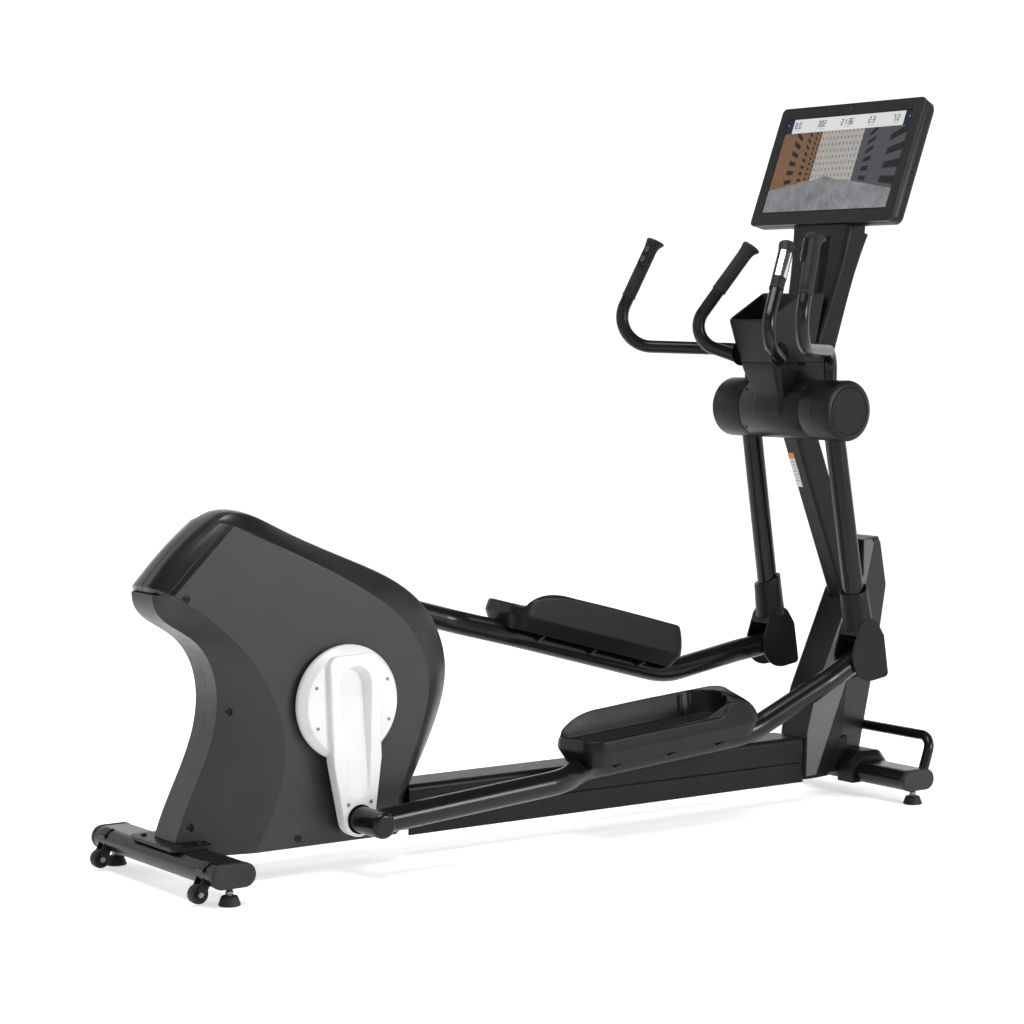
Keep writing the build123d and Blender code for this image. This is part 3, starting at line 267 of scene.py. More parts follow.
def piece_from(name, mesh, body, material, replaced=(), sharp=32):
    """Shown piece from a mesh in the row frame: smooth faces, sharp where they meet at an angle."""
    mesh.materials.clear()
    for entry in material if isinstance(material, (list, tuple)) else [material]:
        mesh.materials.append(entry)
    mesh.validate()
    for polygon in mesh.polygons:
        polygon.use_smooth = True
    mesh.set_sharp_from_angle(angle=radians(sharp))
    piece = bpy.data.objects.new(name, mesh)
    scene.collection.objects.link(piece)
    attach(piece, body)
    if replaced:
        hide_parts(*replaced)
    return piece


def mesh_of(name, verts, faces, tags=None):
    mesh = bpy.data.meshes.new(name)
    mesh.from_pydata([tuple(v) for v in verts], [], faces)
    if tags:
        mesh.polygons.foreach_set("material_index", tags)
    work = bmesh.new()
    work.from_mesh(mesh)
    bmesh.ops.remove_doubles(work, verts=work.verts, dist=1e-6)
    bmesh.ops.recalc_face_normals(work, faces=work.faces)
    work.to_mesh(mesh)
    work.free()
    return mesh


def skin(name, rings, cap=(True, True), closed=True, tag_of=None):
    """Mesh through rings of equally many points, with flat ends where asked."""
    count, verts, faces, tags = len(rings[0]), [], [], []
    for ring in rings:
        verts += ring
    for r in range(len(rings) - 1):
        for i in range(count if closed else count - 1):
            j = (i + 1) % count
            faces.append((r * count + i, r * count + j, (r + 1) * count + j, (r + 1) * count + i))
            tags.append(tag_of(r, i) if tag_of else 0)
    if cap[0]:
        faces.append(tuple(range(count)))
        tags.append(tag_of(0, 0) if tag_of else 0)
    if cap[1]:
        faces.append(tuple(range((len(rings) - 1) * count, len(rings) * count)))
        tags.append(tag_of(len(rings) - 2, 0) if tag_of else 0)
    return mesh_of(name, verts, faces, tags)


def modified(mesh, *steps):
    """The mesh after modifiers, each (kind, values), as a new mesh."""
    holder = bpy.data.objects.new("holder", mesh)
    scene.collection.objects.link(holder)
    for kind, values in steps:
        step = holder.modifiers.new(kind.lower(), kind)
        for key, value in values.items():
            setattr(step, key, value)
    graph = bpy.context.evaluated_depsgraph_get()
    done = bpy.data.meshes.new_from_object(holder.evaluated_get(graph))
    bpy.data.objects.remove(holder)
    return done


def bevelled(mesh, width, segments=3, angle=30):
    return modified(mesh, ("BEVEL", {"width": width, "segments": segments, "limit_method": "ANGLE",
                                     "angle_limit": radians(angle)}))


def carved(mesh, *cutters):
    """The mesh with closed cutter meshes taken out of it."""
    tools = []
    for cutter in cutters:
        tool = bpy.data.objects.new("cutter", cutter)
        scene.collection.objects.link(tool)
        tools.append(tool)
    done = modified(mesh, *[("BOOLEAN", {"operation": "DIFFERENCE", "object": tool, "solver": "EXACT"})
                            for tool in tools])
    for tool in tools:
        bpy.data.objects.remove(tool)
    return done


def joined(name, meshes):
    work = bmesh.new()
    for mesh in meshes:
        work.from_mesh(mesh)
    whole = bpy.data.meshes.new(name)
    work.to_mesh(whole)
    work.free()
    return whole


def turned(profile, centre, axis, steps=64):
    """Mesh of revolution from (radius, distance along the axis) points; radius 0 ends are closed."""
    axis = Vector(axis).normalized()
    first = axis.orthogonal().normalized()
    second = axis.cross(first)
    verts, faces, rows = [], [], []
    for radius, along in profile:
        if radius < 1e-7:
            rows.append([len(verts)])
            verts.append(Vector(centre) + axis * along)
            continue
        rows.append(list(range(len(verts), len(verts) + steps)))
        for i in range(steps):
            a = 2 * pi * i / steps
            verts.append(Vector(centre) + axis * along + (first * cos(a) + second * sin(a)) * radius)
    for low, high in zip(rows, rows[1:]):
        for i in range(steps):
            j = (i + 1) % steps
            quad = [low[i % len(low)], low[j % len(low)], high[j % len(high)], high[i % len(high)]]
            faces.append(tuple(dict.fromkeys(quad)))
    return mesh_of("turned", verts, [f for f in faces if len(f) > 2])


def hull_ring(circles, steps=14):
    """Points round the tight loop about circles (x, z, radius), given anticlockwise."""
    ring, count = [], len(circles)
    for i, (x, z, radius) in enumerate(circles):
        angles = []
        for (ax, az, ar), (bx, bz, br) in ((circles[i - 1], circles[i]),
                                           (circles[i], circles[(i + 1) % count])):
            run, rise = bx - ax, bz - az
            length = hypot(run, rise)
            angles.append(atan2(rise, run) - pi / 2 + asin((ar - br) / length))
        start, end = angles
        while end < start - 1e-6:
            end += 2 * pi
        ring += [(x + radius * cos(start + (end - start) * k / steps),
                  z + radius * sin(start + (end - start) * k / steps)) for k in range(steps + 1)]
    return ring


def round_corners(high_u, low_u, high_v, low_v, radius, place):
    """Ring round a rectangle with round corners of 9 points each, set in space by place(u, v)."""
    corners = [(high_u - radius, high_v - radius, 0.0), (low_u + radius, high_v - radius, 0.5 * pi),
               (low_u + radius, low_v + radius, pi), (high_u - radius, low_v + radius, 1.5 * pi)]
    return [place(u + radius * cos(start + k * pi / 16), v + radius * sin(start + k * pi / 16))
            for u, v, start in corners for k in range(9)]


def smooth_step(value, low, high):
    t = min(1.0, max(0.0, (value - low) / (high - low)))
    return t * t * (3 - 2 * t)


def screw(centre, facing, radius=0.005, height=0.0016):
    """Round-headed screw with a hexagonal socket, standing on a surface."""
    facing = Vector(facing).normalized()
    head = turned([(radius, -0.001), (radius, height * 0.45), (radius * 0.86, height * 0.85),
                   (radius * 0.6, height), (0, height)], centre, facing, 24)
    socket = turned([(0, height * 0.1), (radius * 0.45, height * 0.1), (radius * 0.45, height * 2),
                     (0, height * 2)], centre, facing, 6)
    return carved(head, socket)


def box_piece(lows, highs):
    """Closed box between two corners in datum coordinates."""
    (x0, y0, z0), (x1, y1, z1) = lows, highs
    loop = [(x0, y0), (x1, y0), (x1, y1), (x0, y1)]
    return skin("box", [[spot(x, y, z) for x, y in loop] for z in (z0, z1)])


def curve_through(points, steps):
    """Natural cubic spline through points, in a number of steps between each pair."""
    points = np.array(points, float)
    steps = [steps] * (len(points) - 1) if isinstance(steps, int) else steps
    knots = np.concatenate([[0], np.cumsum(np.linalg.norm(np.diff(points, axis=0), axis=1))])
    gaps, count = np.diff(knots), len(points)
    left, right = np.eye(count), np.zeros_like(points)
    for i in range(1, count - 1):
        left[i, i - 1:i + 2] = gaps[i - 1], 2 * (gaps[i - 1] + gaps[i]), gaps[i]
        right[i] = 6 * ((points[i + 1] - points[i]) / gaps[i] - (points[i] - points[i - 1]) / gaps[i - 1])
    bend = np.linalg.solve(left, right)
    curve = []
    for i in range(count - 1):
        for k in range(steps[i] + (i == count - 2)):
            b = k / steps[i]
            a = 1 - b
            curve.append(a * points[i] + b * points[i + 1]
                         + ((a ** 3 - a) * bend[i] + (b ** 3 - b) * bend[i + 1]) * gaps[i] ** 2 / 6)
    return curve


def bent(points, bends, steps=10):
    """Polyline through points with rounded corners; the bends are the corner radii."""
    points = [Vector(p) for p in points]
    path = [points[0]]
    for before, corner, after, radius in zip(points, points[1:], points[2:], bends):
        into, out = (corner - before).normalized(), (after - corner).normalized()
        half = into.angle(out) / 2
        back = radius * (sin(half) / cos(half))
        start = corner - into * back
        centre = start + ((out - into * into.dot(out)).normalized()) * radius
        first, axis = start - centre, into.cross(out).normalized()
        for k in range(steps + 1):
            path.append(centre + Matrix.Rotation(2 * half * k / steps, 3, axis) @ first)
    return path + [points[-1]]


def swept(path, radius, sides=16):
    """Closed round bar along a path."""
    rings, across = [], None
    for i, point in enumerate(path):
        along = (path[min(i + 1, len(path) - 1)] - path[max(i - 1, 0)]).normalized()
        across = along.orthogonal() if across is None else across - along * across.dot(along)
        across.normalize()
        other = along.cross(across)
        rings.append([point + (across * cos(2 * pi * k / sides) + other * sin(2 * pi * k / sides)) * radius
                      for k in range(sides)])
    return skin("bar", rings)


# ---- pedals -------------------------------------------------------------------------------------
pedal_rear, pedal_front, pedal_in, pedal_out = 0.630, 1.188, 0.052, 0.230
floor_high, rim_high, wall_high, skirt_low, ridge_high = 0.058, 0.075, 0.121, 0.008, 0.044


def rounded_ring(rear, front, inner, outer, rear_radius, front_radius):
    """Rounded rectangle in pedal axes: 13 points a corner, 33 along a long side, 11 along a short one."""
    ring = []
    corners = [(rear, inner, rear_radius, pi), (front, inner, front_radius, 1.5 * pi),
               (front, outer, front_radius, 0.0), (rear, outer, rear_radius, 0.5 * pi)]
    for i, (u, w, radius, start) in enumerate(corners):
        cu = u + radius if u == rear else u - radius
        cw = w + radius if w == inner else w - radius
        ring += [(cu + radius * cos(start + k * pi / 24), cw + radius * sin(start + k * pi / 24))
                 for k in range(13)]
        nu, nw, nr = corners[(i + 1) % 4][:3]
        end_u = nu + nr if nu == rear else nu - nr
        end_w = nw + nr if nw == inner else nw - nr
        last = ring[-1]
        target = (end_u, last[1]) if i % 2 == 0 else (last[0], end_w)
        steps = 34 if i % 2 == 0 else 12
        ring += [(last[0] + (target[0] - last[0]) * k / steps, last[1] + (target[1] - last[1]) * k / steps)
                 for k in range(1, steps)]
    return ring


def pedal_top(u, w):
    """Height of the wall's top: tall on the inner side and round the toe, low elsewhere."""
    bulge = min(1.0, max(0.0, (0.800 - u) / 0.150))
    inner = max(rim_high - 0.006, 0.060 + 0.058 * sqrt(1 - bulge * bulge)) + 0.002 * smooth_step(u, 0.80, 1.0)
    outer = rim_high + 0.033 * smooth_step(u, 1.050, 1.078)
    share = smooth_step(w, pedal_in + 0.004, pedal_out)
    corner = 0.024 * smooth_step(u, 1.120, 1.186) * smooth_step(w, pedal_out - 0.075, pedal_out)
    return inner * (1 - share) + outer * share - corner


def toe_slope(u, w, v):
    """How far the toe's rounded front leans back at a height, less on its inner side."""
    lean = 0.056 * max(0.0, (v - 0.050) / 0.068) ** 2.0
    return lean * smooth_step(u, 1.060, 1.185) * (0.35 + 0.65 * smooth_step(w, pedal_in, pedal_out - 0.02))


def pedal(hand, sign):
    pin_x, pin_z = crank_pin(sign)
    turn = atan2(joint_z - pin_z, joint_x - pin_x) - atan2(0.0995, 1)

    def place(u, w, v):
        v += 0.006
        u += 0.013 - 0.017 * (w - pedal_in) / (pedal_out - pedal_in) * smooth_step(u, 0.9, 1.1) - 0.013 * (
            1 - smooth_step(u, 0.64, 1.0))
        return spot(pin_x + u * cos(turn) - v * sin(turn), sign * w, pin_z + u * sin(turn) + v * cos(turn))

    outline = rounded_ring(pedal_rear, pedal_front, pedal_in, pedal_out, 0.046, 0.046)
    middle_u, middle_w = (pedal_rear + pedal_front) / 2, (pedal_in + pedal_out) / 2

    def outer_ring(inset, height):
        ring = rounded_ring(pedal_rear + inset, pedal_front - inset, pedal_in + inset, pedal_out - inset,
                            0.046 - inset * 0.5, 0.046 - inset * 0.5)
        return [place(u - toe_slope(ou, ow, height(ou, ow)), w, height(ou, ow))
                for (u, w), (ou, ow) in zip(ring, outline)]

    def open_ring(inset, height):
        ring = rounded_ring(pedal_rear + 0.011 + inset, pedal_front - 0.074 - inset,
                            pedal_in + 0.009 + inset, pedal_out - 0.013 - inset, 0.038, 0.078)
        return [place(u, w, height(u if w > middle_w else ou, ow)) for (u, w), (ou, ow) in zip(ring, outline)]

    top = pedal_top

    def share_of(f):
        return lambda u, w: ridge_high + 0.006 + (top(u, w) - 0.006 - ridge_high - 0.006) * f

    rings = [
        outer_ring(0.012, lambda u, w: floor_high - 0.008),
        outer_ring(0.022, lambda u, w: skirt_low + 0.003),
        outer_ring(0.021, lambda u, w: skirt_low + 0.0005),
        outer_ring(0.018, lambda u, w: skirt_low),
        outer_ring(0.0015, lambda u, w: ridge_high - 0.002),
        outer_ring(0.0002, lambda u, w: ridge_high + 0.001),
        outer_ring(0.0002, lambda u, w: ridge_high + 0.006),
        *[outer_ring(0.0002 + 0.002 * f, share_of(f)) for f in (0.3, 0.55, 0.75, 0.9, 1.0)],
        outer_ring(0.0032, lambda u, w: top(u, w) - 0.0022),
        outer_ring(0.0052, lambda u, w: top(u, w) - 0.0004),
        outer_ring(0.0070, top),
        open_ring(-0.0016, lambda u, w: top(u, w) + 0.0004),
        open_ring(0.0000, lambda u, w: top(u, w) - 0.0016),
        open_ring(0.0010, lambda u, w: floor_high + 0.006),
        open_ring(0.0022, lambda u, w: floor_high + 0.0018),
        open_ring(0.0060, lambda u, w: floor_high),
    ]
    shell = skin(f"pedal_shell_{hand}", rings)
    piece_from(f"pedal_shell_{hand}", shell, f"{hand}_pedal_arm", moulded,
               (f"pedal_{hand}",), sharp=40)

    ribs = []
    for u in (0.742, 0.907, 1.072):
        for near, far in ((0.079, 0.112), (0.203, 0.158)):
            loop = [(near, skirt_low + 0.012), (far, skirt_low + 0.012), (far, -0.014),
                    (near, skirt_low - 0.004)]
            ribs.append(skin("rib", [[place(u - 0.003, w, v) for w, v in loop],
                                     [place(u + 0.003, w, v) for w, v in loop]]))
    piece_from(f"pedal_ribs_{hand}", bevelled(joined("ribs", ribs), 0.0006, 2), f"{hand}_pedal_arm",
               moulded)

    posts = []
    for u in (1.030, 1.062):
        column = []
        for v, grow in ((floor_high - 0.001, 0.002), (floor_high + 0.006, 0.0), (wall_high - 0.012, -0.001),
                        (wall_high - 0.0075, -0.003)):
            radius = 0.0085 + grow
            column.append([place(u + radius * cos(a), pedal_in + 0.009 + 0.9 * radius * sin(a), v)
                           for a in np.linspace(0, pi, 13)])
        posts.append(skin("post", column))
    piece_from(f"pedal_flutes_{hand}", joined("posts", posts), f"{hand}_pedal_arm", moulded)

    pad_outline = rounded_ring(pedal_rear + 0.024, pedal_front - 0.087, pedal_in + 0.022, pedal_out - 0.026,
                               0.028, 0.060)
    pad = [skin("pad", [[place(u, w, floor_high - 0.001) for u, w in pad_outline],
                        [place(u, w, floor_high + 0.0012) for u, w in pad_outline],
                        [place(u + (middle_u - u) * 0.004, w + (middle_w - w) * 0.012, floor_high + 0.0018)
                         for u, w in pad_outline]])]
    verts, faces = [], []
    for i in range(41):
        for j in range(11):
            u = pedal_rear + 0.040 + i * 0.0107 + (j % 2) * 0.0053
            w = pedal_in + 0.034 + j * 0.0108
            if u > pedal_front - 0.103 or (u > pedal_front - 0.133 and j > 5):
                continue
            base = len(verts)
            for radius, v in ((0.0030, floor_high + 0.001), (0.0022, floor_high + 0.0030)):
                verts += [place(u + radius * cos(k * pi / 4), w + radius * sin(k * pi / 4), v)
                          for k in range(8)]
            faces += [(base + k, base + (k + 1) % 8, base + 8 + (k + 1) % 8, base + 8 + k) for k in range(8)]
            faces.append(tuple(base + 8 + k for k in range(8)))
    pad.append(mesh_of("dots", verts, faces))
    piece_from(f"pedal_pad_{hand}", joined("pad", pad), f"{hand}_pedal_arm", tread_rubber,
               sharp=30)


# ---- crank discs and arms -------------------------------------------------------------------------


def crank_side(hand, sign):
    """One side's disc, pocketed arm, pin collar and screws; the right arm points down at rest."""
    turn = crank_turn if sign < 0 else pi + crank_turn

    def at(x, y, z):
        return spot(crank_x + x * cos(turn) - z * sin(turn), sign * y,
                    crank_z + x * sin(turn) + z * cos(turn))

    outward = Vector((0, sign, 0))
    centre = spot(crank_x, 0, crank_z)
    circles = [(0.042, 0.091, 0.025), (-0.042, 0.091, 0.025), (-0.050, -0.130, 0.016),
               (0, -crank_radius, 0.042), (0.050, -0.130, 0.016)]
    outline = hull_ring(circles)
    body = skin("arm", [[at(x, 0.1192, z) for x, z in outline], [at(x, 0.155, z) for x, z in outline]])
    body = bevelled(body, 0.0042, 4)
    deep = hull_ring([(0, 0.046, 0.034), (0, -0.190, 0.0265)], 20)
    wide = hull_ring([(0, 0.046, 0.0445), (0, -0.190, 0.0305)], 20)

    def pocket(extra):
        """Space of the arm's pocket, deep at the hub and shallow near the pin."""
        def depth(z):
            return 0.155 - 0.0235 + 0.0195 * smooth_step(-z, -0.02, 0.215) ** 0.8 - extra

        return skin("pocket", [[at(x * (1 + 8 * extra), depth(z), z * (1 + 2 * extra)) for x, z in deep],
                               [at(x * (1 + 8 * extra), 0.155, z * (1 + 2 * extra)) for x, z in wide],
                               [at(x * (1 + 8 * extra), 0.170, z * (1 + 2 * extra)) for x, z in wide]])

    arm = bevelled(carved(body, pocket(0.0)), 0.0016, 3, 20)
    piece_from(f"crank_arm_{hand}", arm, "crank", white_paint, sharp=35)
    disc = turned([(0.034, 0.098), (0.036, 0.105), (0.131, 0.105), (0.1352, 0.1062), (0.136, 0.109),
                   (0.136, 0.1165), (0.1354, 0.1195), (0.1335, 0.1222), (0.1222, 0.1385), (0.1198, 0.1399),
                   (0.117, 0.1402), (0, 0.1402)], centre, outward, 128)
    piece_from(f"crank_disc_{hand}", carved(disc, pocket(0.001)), "crank", white_paint,
               sharp=25)

    screws = [screw(at(0.108 * cos(radians(a)), 0.1401, 0.108 * sin(radians(a))), outward, 0.0042)
              for a in (26, 154, 206, 334)]
    screws += [screw(at(x, 0.155, -0.232), outward, 0.0046) for x in (-0.031, 0.031)]
    piece_from(f"crank_screws_{hand}", joined("screws", screws), "crank", screw_metal)
    collar = turned([(0.031, 0.152), (0.0347, 0.1545), (0.0347, 0.1562), (0.0338, 0.1568), (0.020, 0.1568),
                     (0.020, 0.152)], at(0, 0, -crank_radius) - Vector((0, at(0, 0, 0).y, 0)), outward, 64)
    piece_from(f"crank_collar_{hand}", collar, "crank", flat_black_and_painted_shade)


# ---- screen ------------------------------------------------------------------------------------------
screen_width, screen_height, screen_tilt = 0.487, 0.274, radians(20.74)
screen_centre = spot(0.9847, 0, 1.7067)
screen_out = Vector((-cos(screen_tilt), 0, sin(screen_tilt)))
screen_up = Vector((sin(screen_tilt), 0, cos(screen_tilt)))
screen_right = Vector((0, -1, 0))


def screen_point(right, up, out=0.0):
    return screen_centre + screen_right * right + screen_up * up + screen_out * out


def screen_picture():
    """Glowing display: an empty avenue between two plain facades, under a pale bar for the figures."""
    t = Tree("screen_display")

    def math(operation, a, b=0.0, clamp=False):
        node = t.add("ShaderNodeMath", operation=operation, use_clamp=clamp)
        for index, value in enumerate((a, b)):
            if isinstance(value, (int, float)):
                node.inputs[index].default_value = value
            else:
                t.material.node_tree.links.new(value, node.inputs[index])
        return node.outputs[0]

    def along(direction, length):
        shift = t.add("ShaderNodeVectorMath", operation="SUBTRACT")
        t.link(t.coords, "Object", shift, 0)
        shift.inputs[1].default_value = screen_centre
        dot = t.add("ShaderNodeVectorMath", operation="DOT_PRODUCT")
        t.link(shift, 0, dot, 0)
        dot.inputs[1].default_value = direction / length
        return math("ADD", dot.outputs["Value"], 0.5)

    def blend(factor, first, second):
        node = t.add("ShaderNodeMix", data_type="RGBA")
        if isinstance(factor, (int, float)):
            node.inputs[0].default_value = factor
        else:
            t.material.node_tree.links.new(factor, node.inputs[0])
        for socket, value in ((6, first), (7, second)):
            if isinstance(value, tuple):
                node.inputs[socket].default_value = (*value, 1.0)
            else:
                t.material.node_tree.links.new(value, node.inputs[socket])
        return node.outputs[2]

    def step(value, edge, soft=0.004):
        return math("MULTIPLY", math("SUBTRACT", value, edge), 1.0 / soft, True)

    s, h = along(screen_right, screen_width), along(screen_up, screen_height)
    aside, above = math("SUBTRACT", s, 0.44), math("SUBTRACT", h, 0.37)
    reach = math("ADD", math("ABSOLUTE", aside), 0.012)
    slope = math("DIVIDE", above, reach)
    far = math("DIVIDE", 0.30, reach)
    grain = t.noise(0.006, 6.0, 0.7).outputs["Fac"]
    broad = t.noise(0.05, 5.0, 0.6).outputs["Fac"]
    bays = math("PINGPONG", math("MULTIPLY", far, 2.6), 0.5)
    floors = math("PINGPONG", math("MULTIPLY", slope, 3.2), 0.5)
    opening = math("MULTIPLY", step(bays, 0.24, 0.08), step(floors, 0.22, 0.08))
    speck = math("ADD", math("MULTIPLY", grain, 0.9), 0.45)
    brown = blend(opening, (0.24, 0.13, 0.07), (0.03, 0.022, 0.02))
    slate = blend(opening, (0.10, 0.10, 0.11), (0.02, 0.02, 0.024))
    stone = blend(math("MULTIPLY", step(math("PINGPONG", math("MULTIPLY", s, 34.0), 0.5), 0.3, 0.1),
                       step(math("PINGPONG", math("MULTIPLY", h, 15.0), 0.5), 0.24, 0.1)),
                  (0.50, 0.48, 0.45), (0.20, 0.20, 0.21))
    street = blend(math("MULTIPLY", broad, 1.2, True), (0.08, 0.08, 0.09), (0.42, 0.42, 0.44))
    street = blend(math("MULTIPLY", step(math("PINGPONG", math("MULTIPLY", math("DIVIDE", aside,
                   math("SUBTRACT", 0.02, above)), 6.0), 0.5), 0.44, 0.05), 0.5), street, (0.08, 0.08, 0.09))
    sides = blend(step(aside, 0.0), brown, slate)
    picture = blend(step(reach, math("ADD", 0.13, math("MULTIPLY", step(aside, 0.0), 0.10))), stone, sides)
    kerb = step(math("MULTIPLY", above, -1.0), math("MULTIPLY", reach, 0.42))
    kerb = math("MAXIMUM", kerb, step(math("MULTIPLY", above, -1.0), 0.05))
    kerb = math("MULTIPLY", kerb, step(math("MULTIPLY", above, -1.0), math("MULTIPLY", reach, 0.30)))
    picture = blend(kerb, picture, street)
    dappled = t.add("ShaderNodeMix", data_type="RGBA", blend_type="MULTIPLY")
    dappled.inputs[0].default_value = 1.0
    t.material.node_tree.links.new(picture, dappled.inputs[6])
    t.material.node_tree.links.new(speck, dappled.inputs[7])
    picture = dappled.outputs[2]
    bar = math("MULTIPLY", step(h, 0.845),
               math("MULTIPLY", step(s, 0.052), math("SUBTRACT", 1.0, step(s, 0.948))))
    tabs = math("MULTIPLY", step(h, 0.845), math("SUBTRACT", 1.0, bar))
    picture = blend(math("MULTIPLY", bar, 0.94), picture, (0.84, 0.85, 0.86))
    picture = blend(tabs, picture, (0.018, 0.022, 0.06))
    edge_s = math("MULTIPLY", step(s, 0.001, 0.002), math("SUBTRACT", 1.0, step(s, 0.998, 0.002)))
    edge_h = math("MULTIPLY", step(h, 0.001, 0.003), math("SUBTRACT", 1.0, step(h, 0.997, 0.003)))
    picture = blend(math("MULTIPLY", edge_s, edge_h), (0.004, 0.004, 0.004), picture)
    t.shader.inputs["Base Color"].default_value = (0.004, 0.004, 0.004, 1)
    t.shader.inputs["Roughness"].default_value = 0.22
    t.shader.inputs["Specular IOR Level"].default_value = 0.25
    t.material.node_tree.links.new(picture, t.shader.inputs["Emission Color"])
    t.shader.inputs["Emission Strength"].default_value = 0.85
    fine = t.noise(0.004, 2.0)
    t.link(t.bump(fine, "Fac", 0.000003), "Normal", t.shader, "Normal")
    return t.material


def display():
    glass = nodes["screen_glass"].data
    glass.materials.clear()
    glass.materials.append(screen_picture())
    segments = {"a": (0, 1, 1, 1), "b": (1, 0.5, 1, 1), "c": (1, 0, 1, 0.5), "d": (0, 0, 1, 0),
                "e": (0, 0, 0, 0.5), "f": (0, 0.5, 0, 1), "g": (0, 0.5, 1, 0.5)}
    lit = {"0": "abcdef", "1": "bc", "2": "abged", "3": "abgcd", "4": "fgbc", "5": "afgcd",
           "6": "afgedc", "7": "abc", "8": "abcdefg", "9": "abcfgd"}
    strokes, rules = [], []

    def stroke(r0, u0, r1, u1, half, store, out=0.0002):
        r0, r1 = sorted((r0, r1))
        u0, u1 = sorted((u0, u1))
        loop = [(r0 - half, u0 - half), (r1 + half, u0 - half), (r1 + half, u1 + half),
                (r0 - half, u1 + half)]
        store.append(skin("stroke", [[screen_point(r, u, -0.0002) for r, u in loop],
                                     [screen_point(r, u, out) for r, u in loop]]))

    tall, wide, top = 0.0155, 0.0068, 0.1262
    for centre, text in ((-0.196, "8.0"), (-0.100, "302"), (0.000, "21:36"), (0.096, "2.3"), (0.190, "7.2")):
        advance = [0.0045 if c in ".:" else wide + 0.0042 for c in text]
        left = centre - sum(advance) / 2
        for c, step_on in zip(text, advance):
            if c in ".:":
                for up in ((0.0,) if c == "." else (0.25, 0.75)):
                    stroke(left, top - tall + up * tall, left, top - tall + up * tall, 0.0011, strokes)
            else:
                for name in lit[c]:
                    x0, y0, x1, y1 = segments[name]
                    stroke(left + x0 * wide, top - tall + y0 * tall, left + x1 * wide, top - tall + y1 * tall,
                           0.00115, strokes)
            left += step_on
        stroke(centre - 0.011, top - tall - 0.0068, centre + 0.011, top - tall - 0.0068, 0.0006, rules)
    for side in (-1, 1):
        stroke(side * 0.2375, 0.120, side * 0.2375, 0.120, 0.0018, rules)
    piece_from("screen_figures", joined("figures", strokes), "frame", ink)
    piece_from("screen_rules", joined("rules", rules), "frame", faint_ink)
    lens = turned([(0, 0.0004), (0.0022, 0.0004), (0.0022, 0.0013), (0.0038, 0.0016), (0.0042, 0.0012),
                   (0.0042, 0.0)], screen_point(0.0, 0.1545, 0.0006), screen_out, 32)
    piece_from("camera_window", lens, "frame", key)


def ink_of(name, colour, glow):
    t = Tree(name)
    patch = t.noise(0.02, 3.0)
    tone = t.mix(t.ramp(patch, "Fac", 0.3, 0.7, 0.0, 1.0), "Result", tuple(c * 0.9 for c in colour), colour)
    t.link(tone, 2, t.shader, "Emission Color")
    t.shader.inputs["Base Color"].default_value = (0.01, 0.01, 0.01, 1)
    t.shader.inputs["Roughness"].default_value = 0.3
    t.shader.inputs["Emission Strength"].default_value = glow
    return t.material


ink = ink_of("display_ink", grey(0.03), 1.0)
faint_ink = ink_of("display_rule", grey(0.35), 1.0)

# ---- shroud crown, screws, drums, feet, grips, tray, console, label -----------------------------------
side_front = [(-0.926, 0.823), (-0.762, 0.750), (-0.554, 0.643), (-0.440, 0.547), (-0.398, 0.440),
              (-0.434, 0.278), (-0.485, 0.160)]
crown_front = [(-0.957, 0.831), (-0.917, 0.848), (-0.783, 0.811), (-0.560, 0.715), (-0.370, 0.597),
               (-0.314, 0.453), (-0.350, 0.310), (-0.440, 0.142)]


def shroud_crown():
    """Crowned cover over the back, top and front of the drive, grooved beside its rear panel."""
    low = curve_through([(x, 0, z) for x, z in side_front], 12) + [np.array((-0.493, 0, 0.069))]
    high = curve_through([(x, 0, z) for x, z in crown_front], [4, 8, 12, 12, 12, 12, 12])
    high.append(np.array((-0.448, 0, 0.069)))
    back = 14
    rear_low, rear_high = np.array((-1.079, 0, 0.6735)), np.array((-1.111, 0, 0.689))
    bow = np.array((-0.005, 0, 0.006))
    low = [rear_low + (low[0] - rear_low) * k / back for k in range(back)] + low
    high = [rear_high + (high[0] - rear_high) * k / back + bow * sin(pi * k / back)
            for k in range(back)] + high
    low = [np.array((-1.080, 0, 0.6731))] + low
    high = [np.array((-1.1056, 0, 0.6733))] + high
    half, spine = 0.098, 0.050
    stations = [0.0, 0.0008, 0.0016, 0.010, 0.022, 0.034, 0.044, 0.048, 0.050, 0.052, 0.056, 0.064, 0.072,
                0.080, 0.0855, 0.0858, 0.0925, 0.0928, 0.0955, 0.0972, 0.098]
    stations = [-y for y in reversed(stations[1:])] + stations
    rings = []
    for k, (a, b) in enumerate(zip(low, high)):
        groove = smooth_step(-k, -back - 6, -back)
        out = Vector(b - a)
        ring = []
        for y in stations:
            flat = min(1.0, (half - abs(y)) / (half - spine))
            rise = 1 - (abs(y) / half) ** 3.2
            share = (0.55 * flat + 0.45 * rise) + 0.05 * (1 - min(1.0, abs(y) / spine) ** 2) * (1 - groove)
            share -= groove * 0.10 * smooth_step(abs(y), 0.034, spine) * smooth_step(abs(y), 0.070, spine)
            point = Vector(a) + out * share
            inward = -out.normalized()
            if 0.0857 < abs(y) < 0.0926:
                point += inward * 0.004 * groove
            if abs(y) < 0.0012:
                point += inward * 0.0010
            ring.append(spot(point.x, y, point.z))
        inner = Vector(a) - out.normalized() * 0.004
        ring += [spot(inner.x, half - 0.002, inner.z), spot(inner.x, 0.002 - half, inner.z)]
        rings.append(ring)
    count = len(stations)

    # the groove's faces take the second, flat black material: painted shade in the groove
    def tag_of(r, i):
        if i < count - 1 and 0.0856 < abs(stations[i] + stations[i + 1]) / 2 < 0.0927 and r < back + 3:
            return 1
        return 0

    crown = skin("shroud_crown_cover", rings, tag_of=tag_of)
    piece_from("shroud_crown_cover", crown, "frame", [gloss, flat_black_and_painted_shade], ("shroud_crown",), sharp=24)


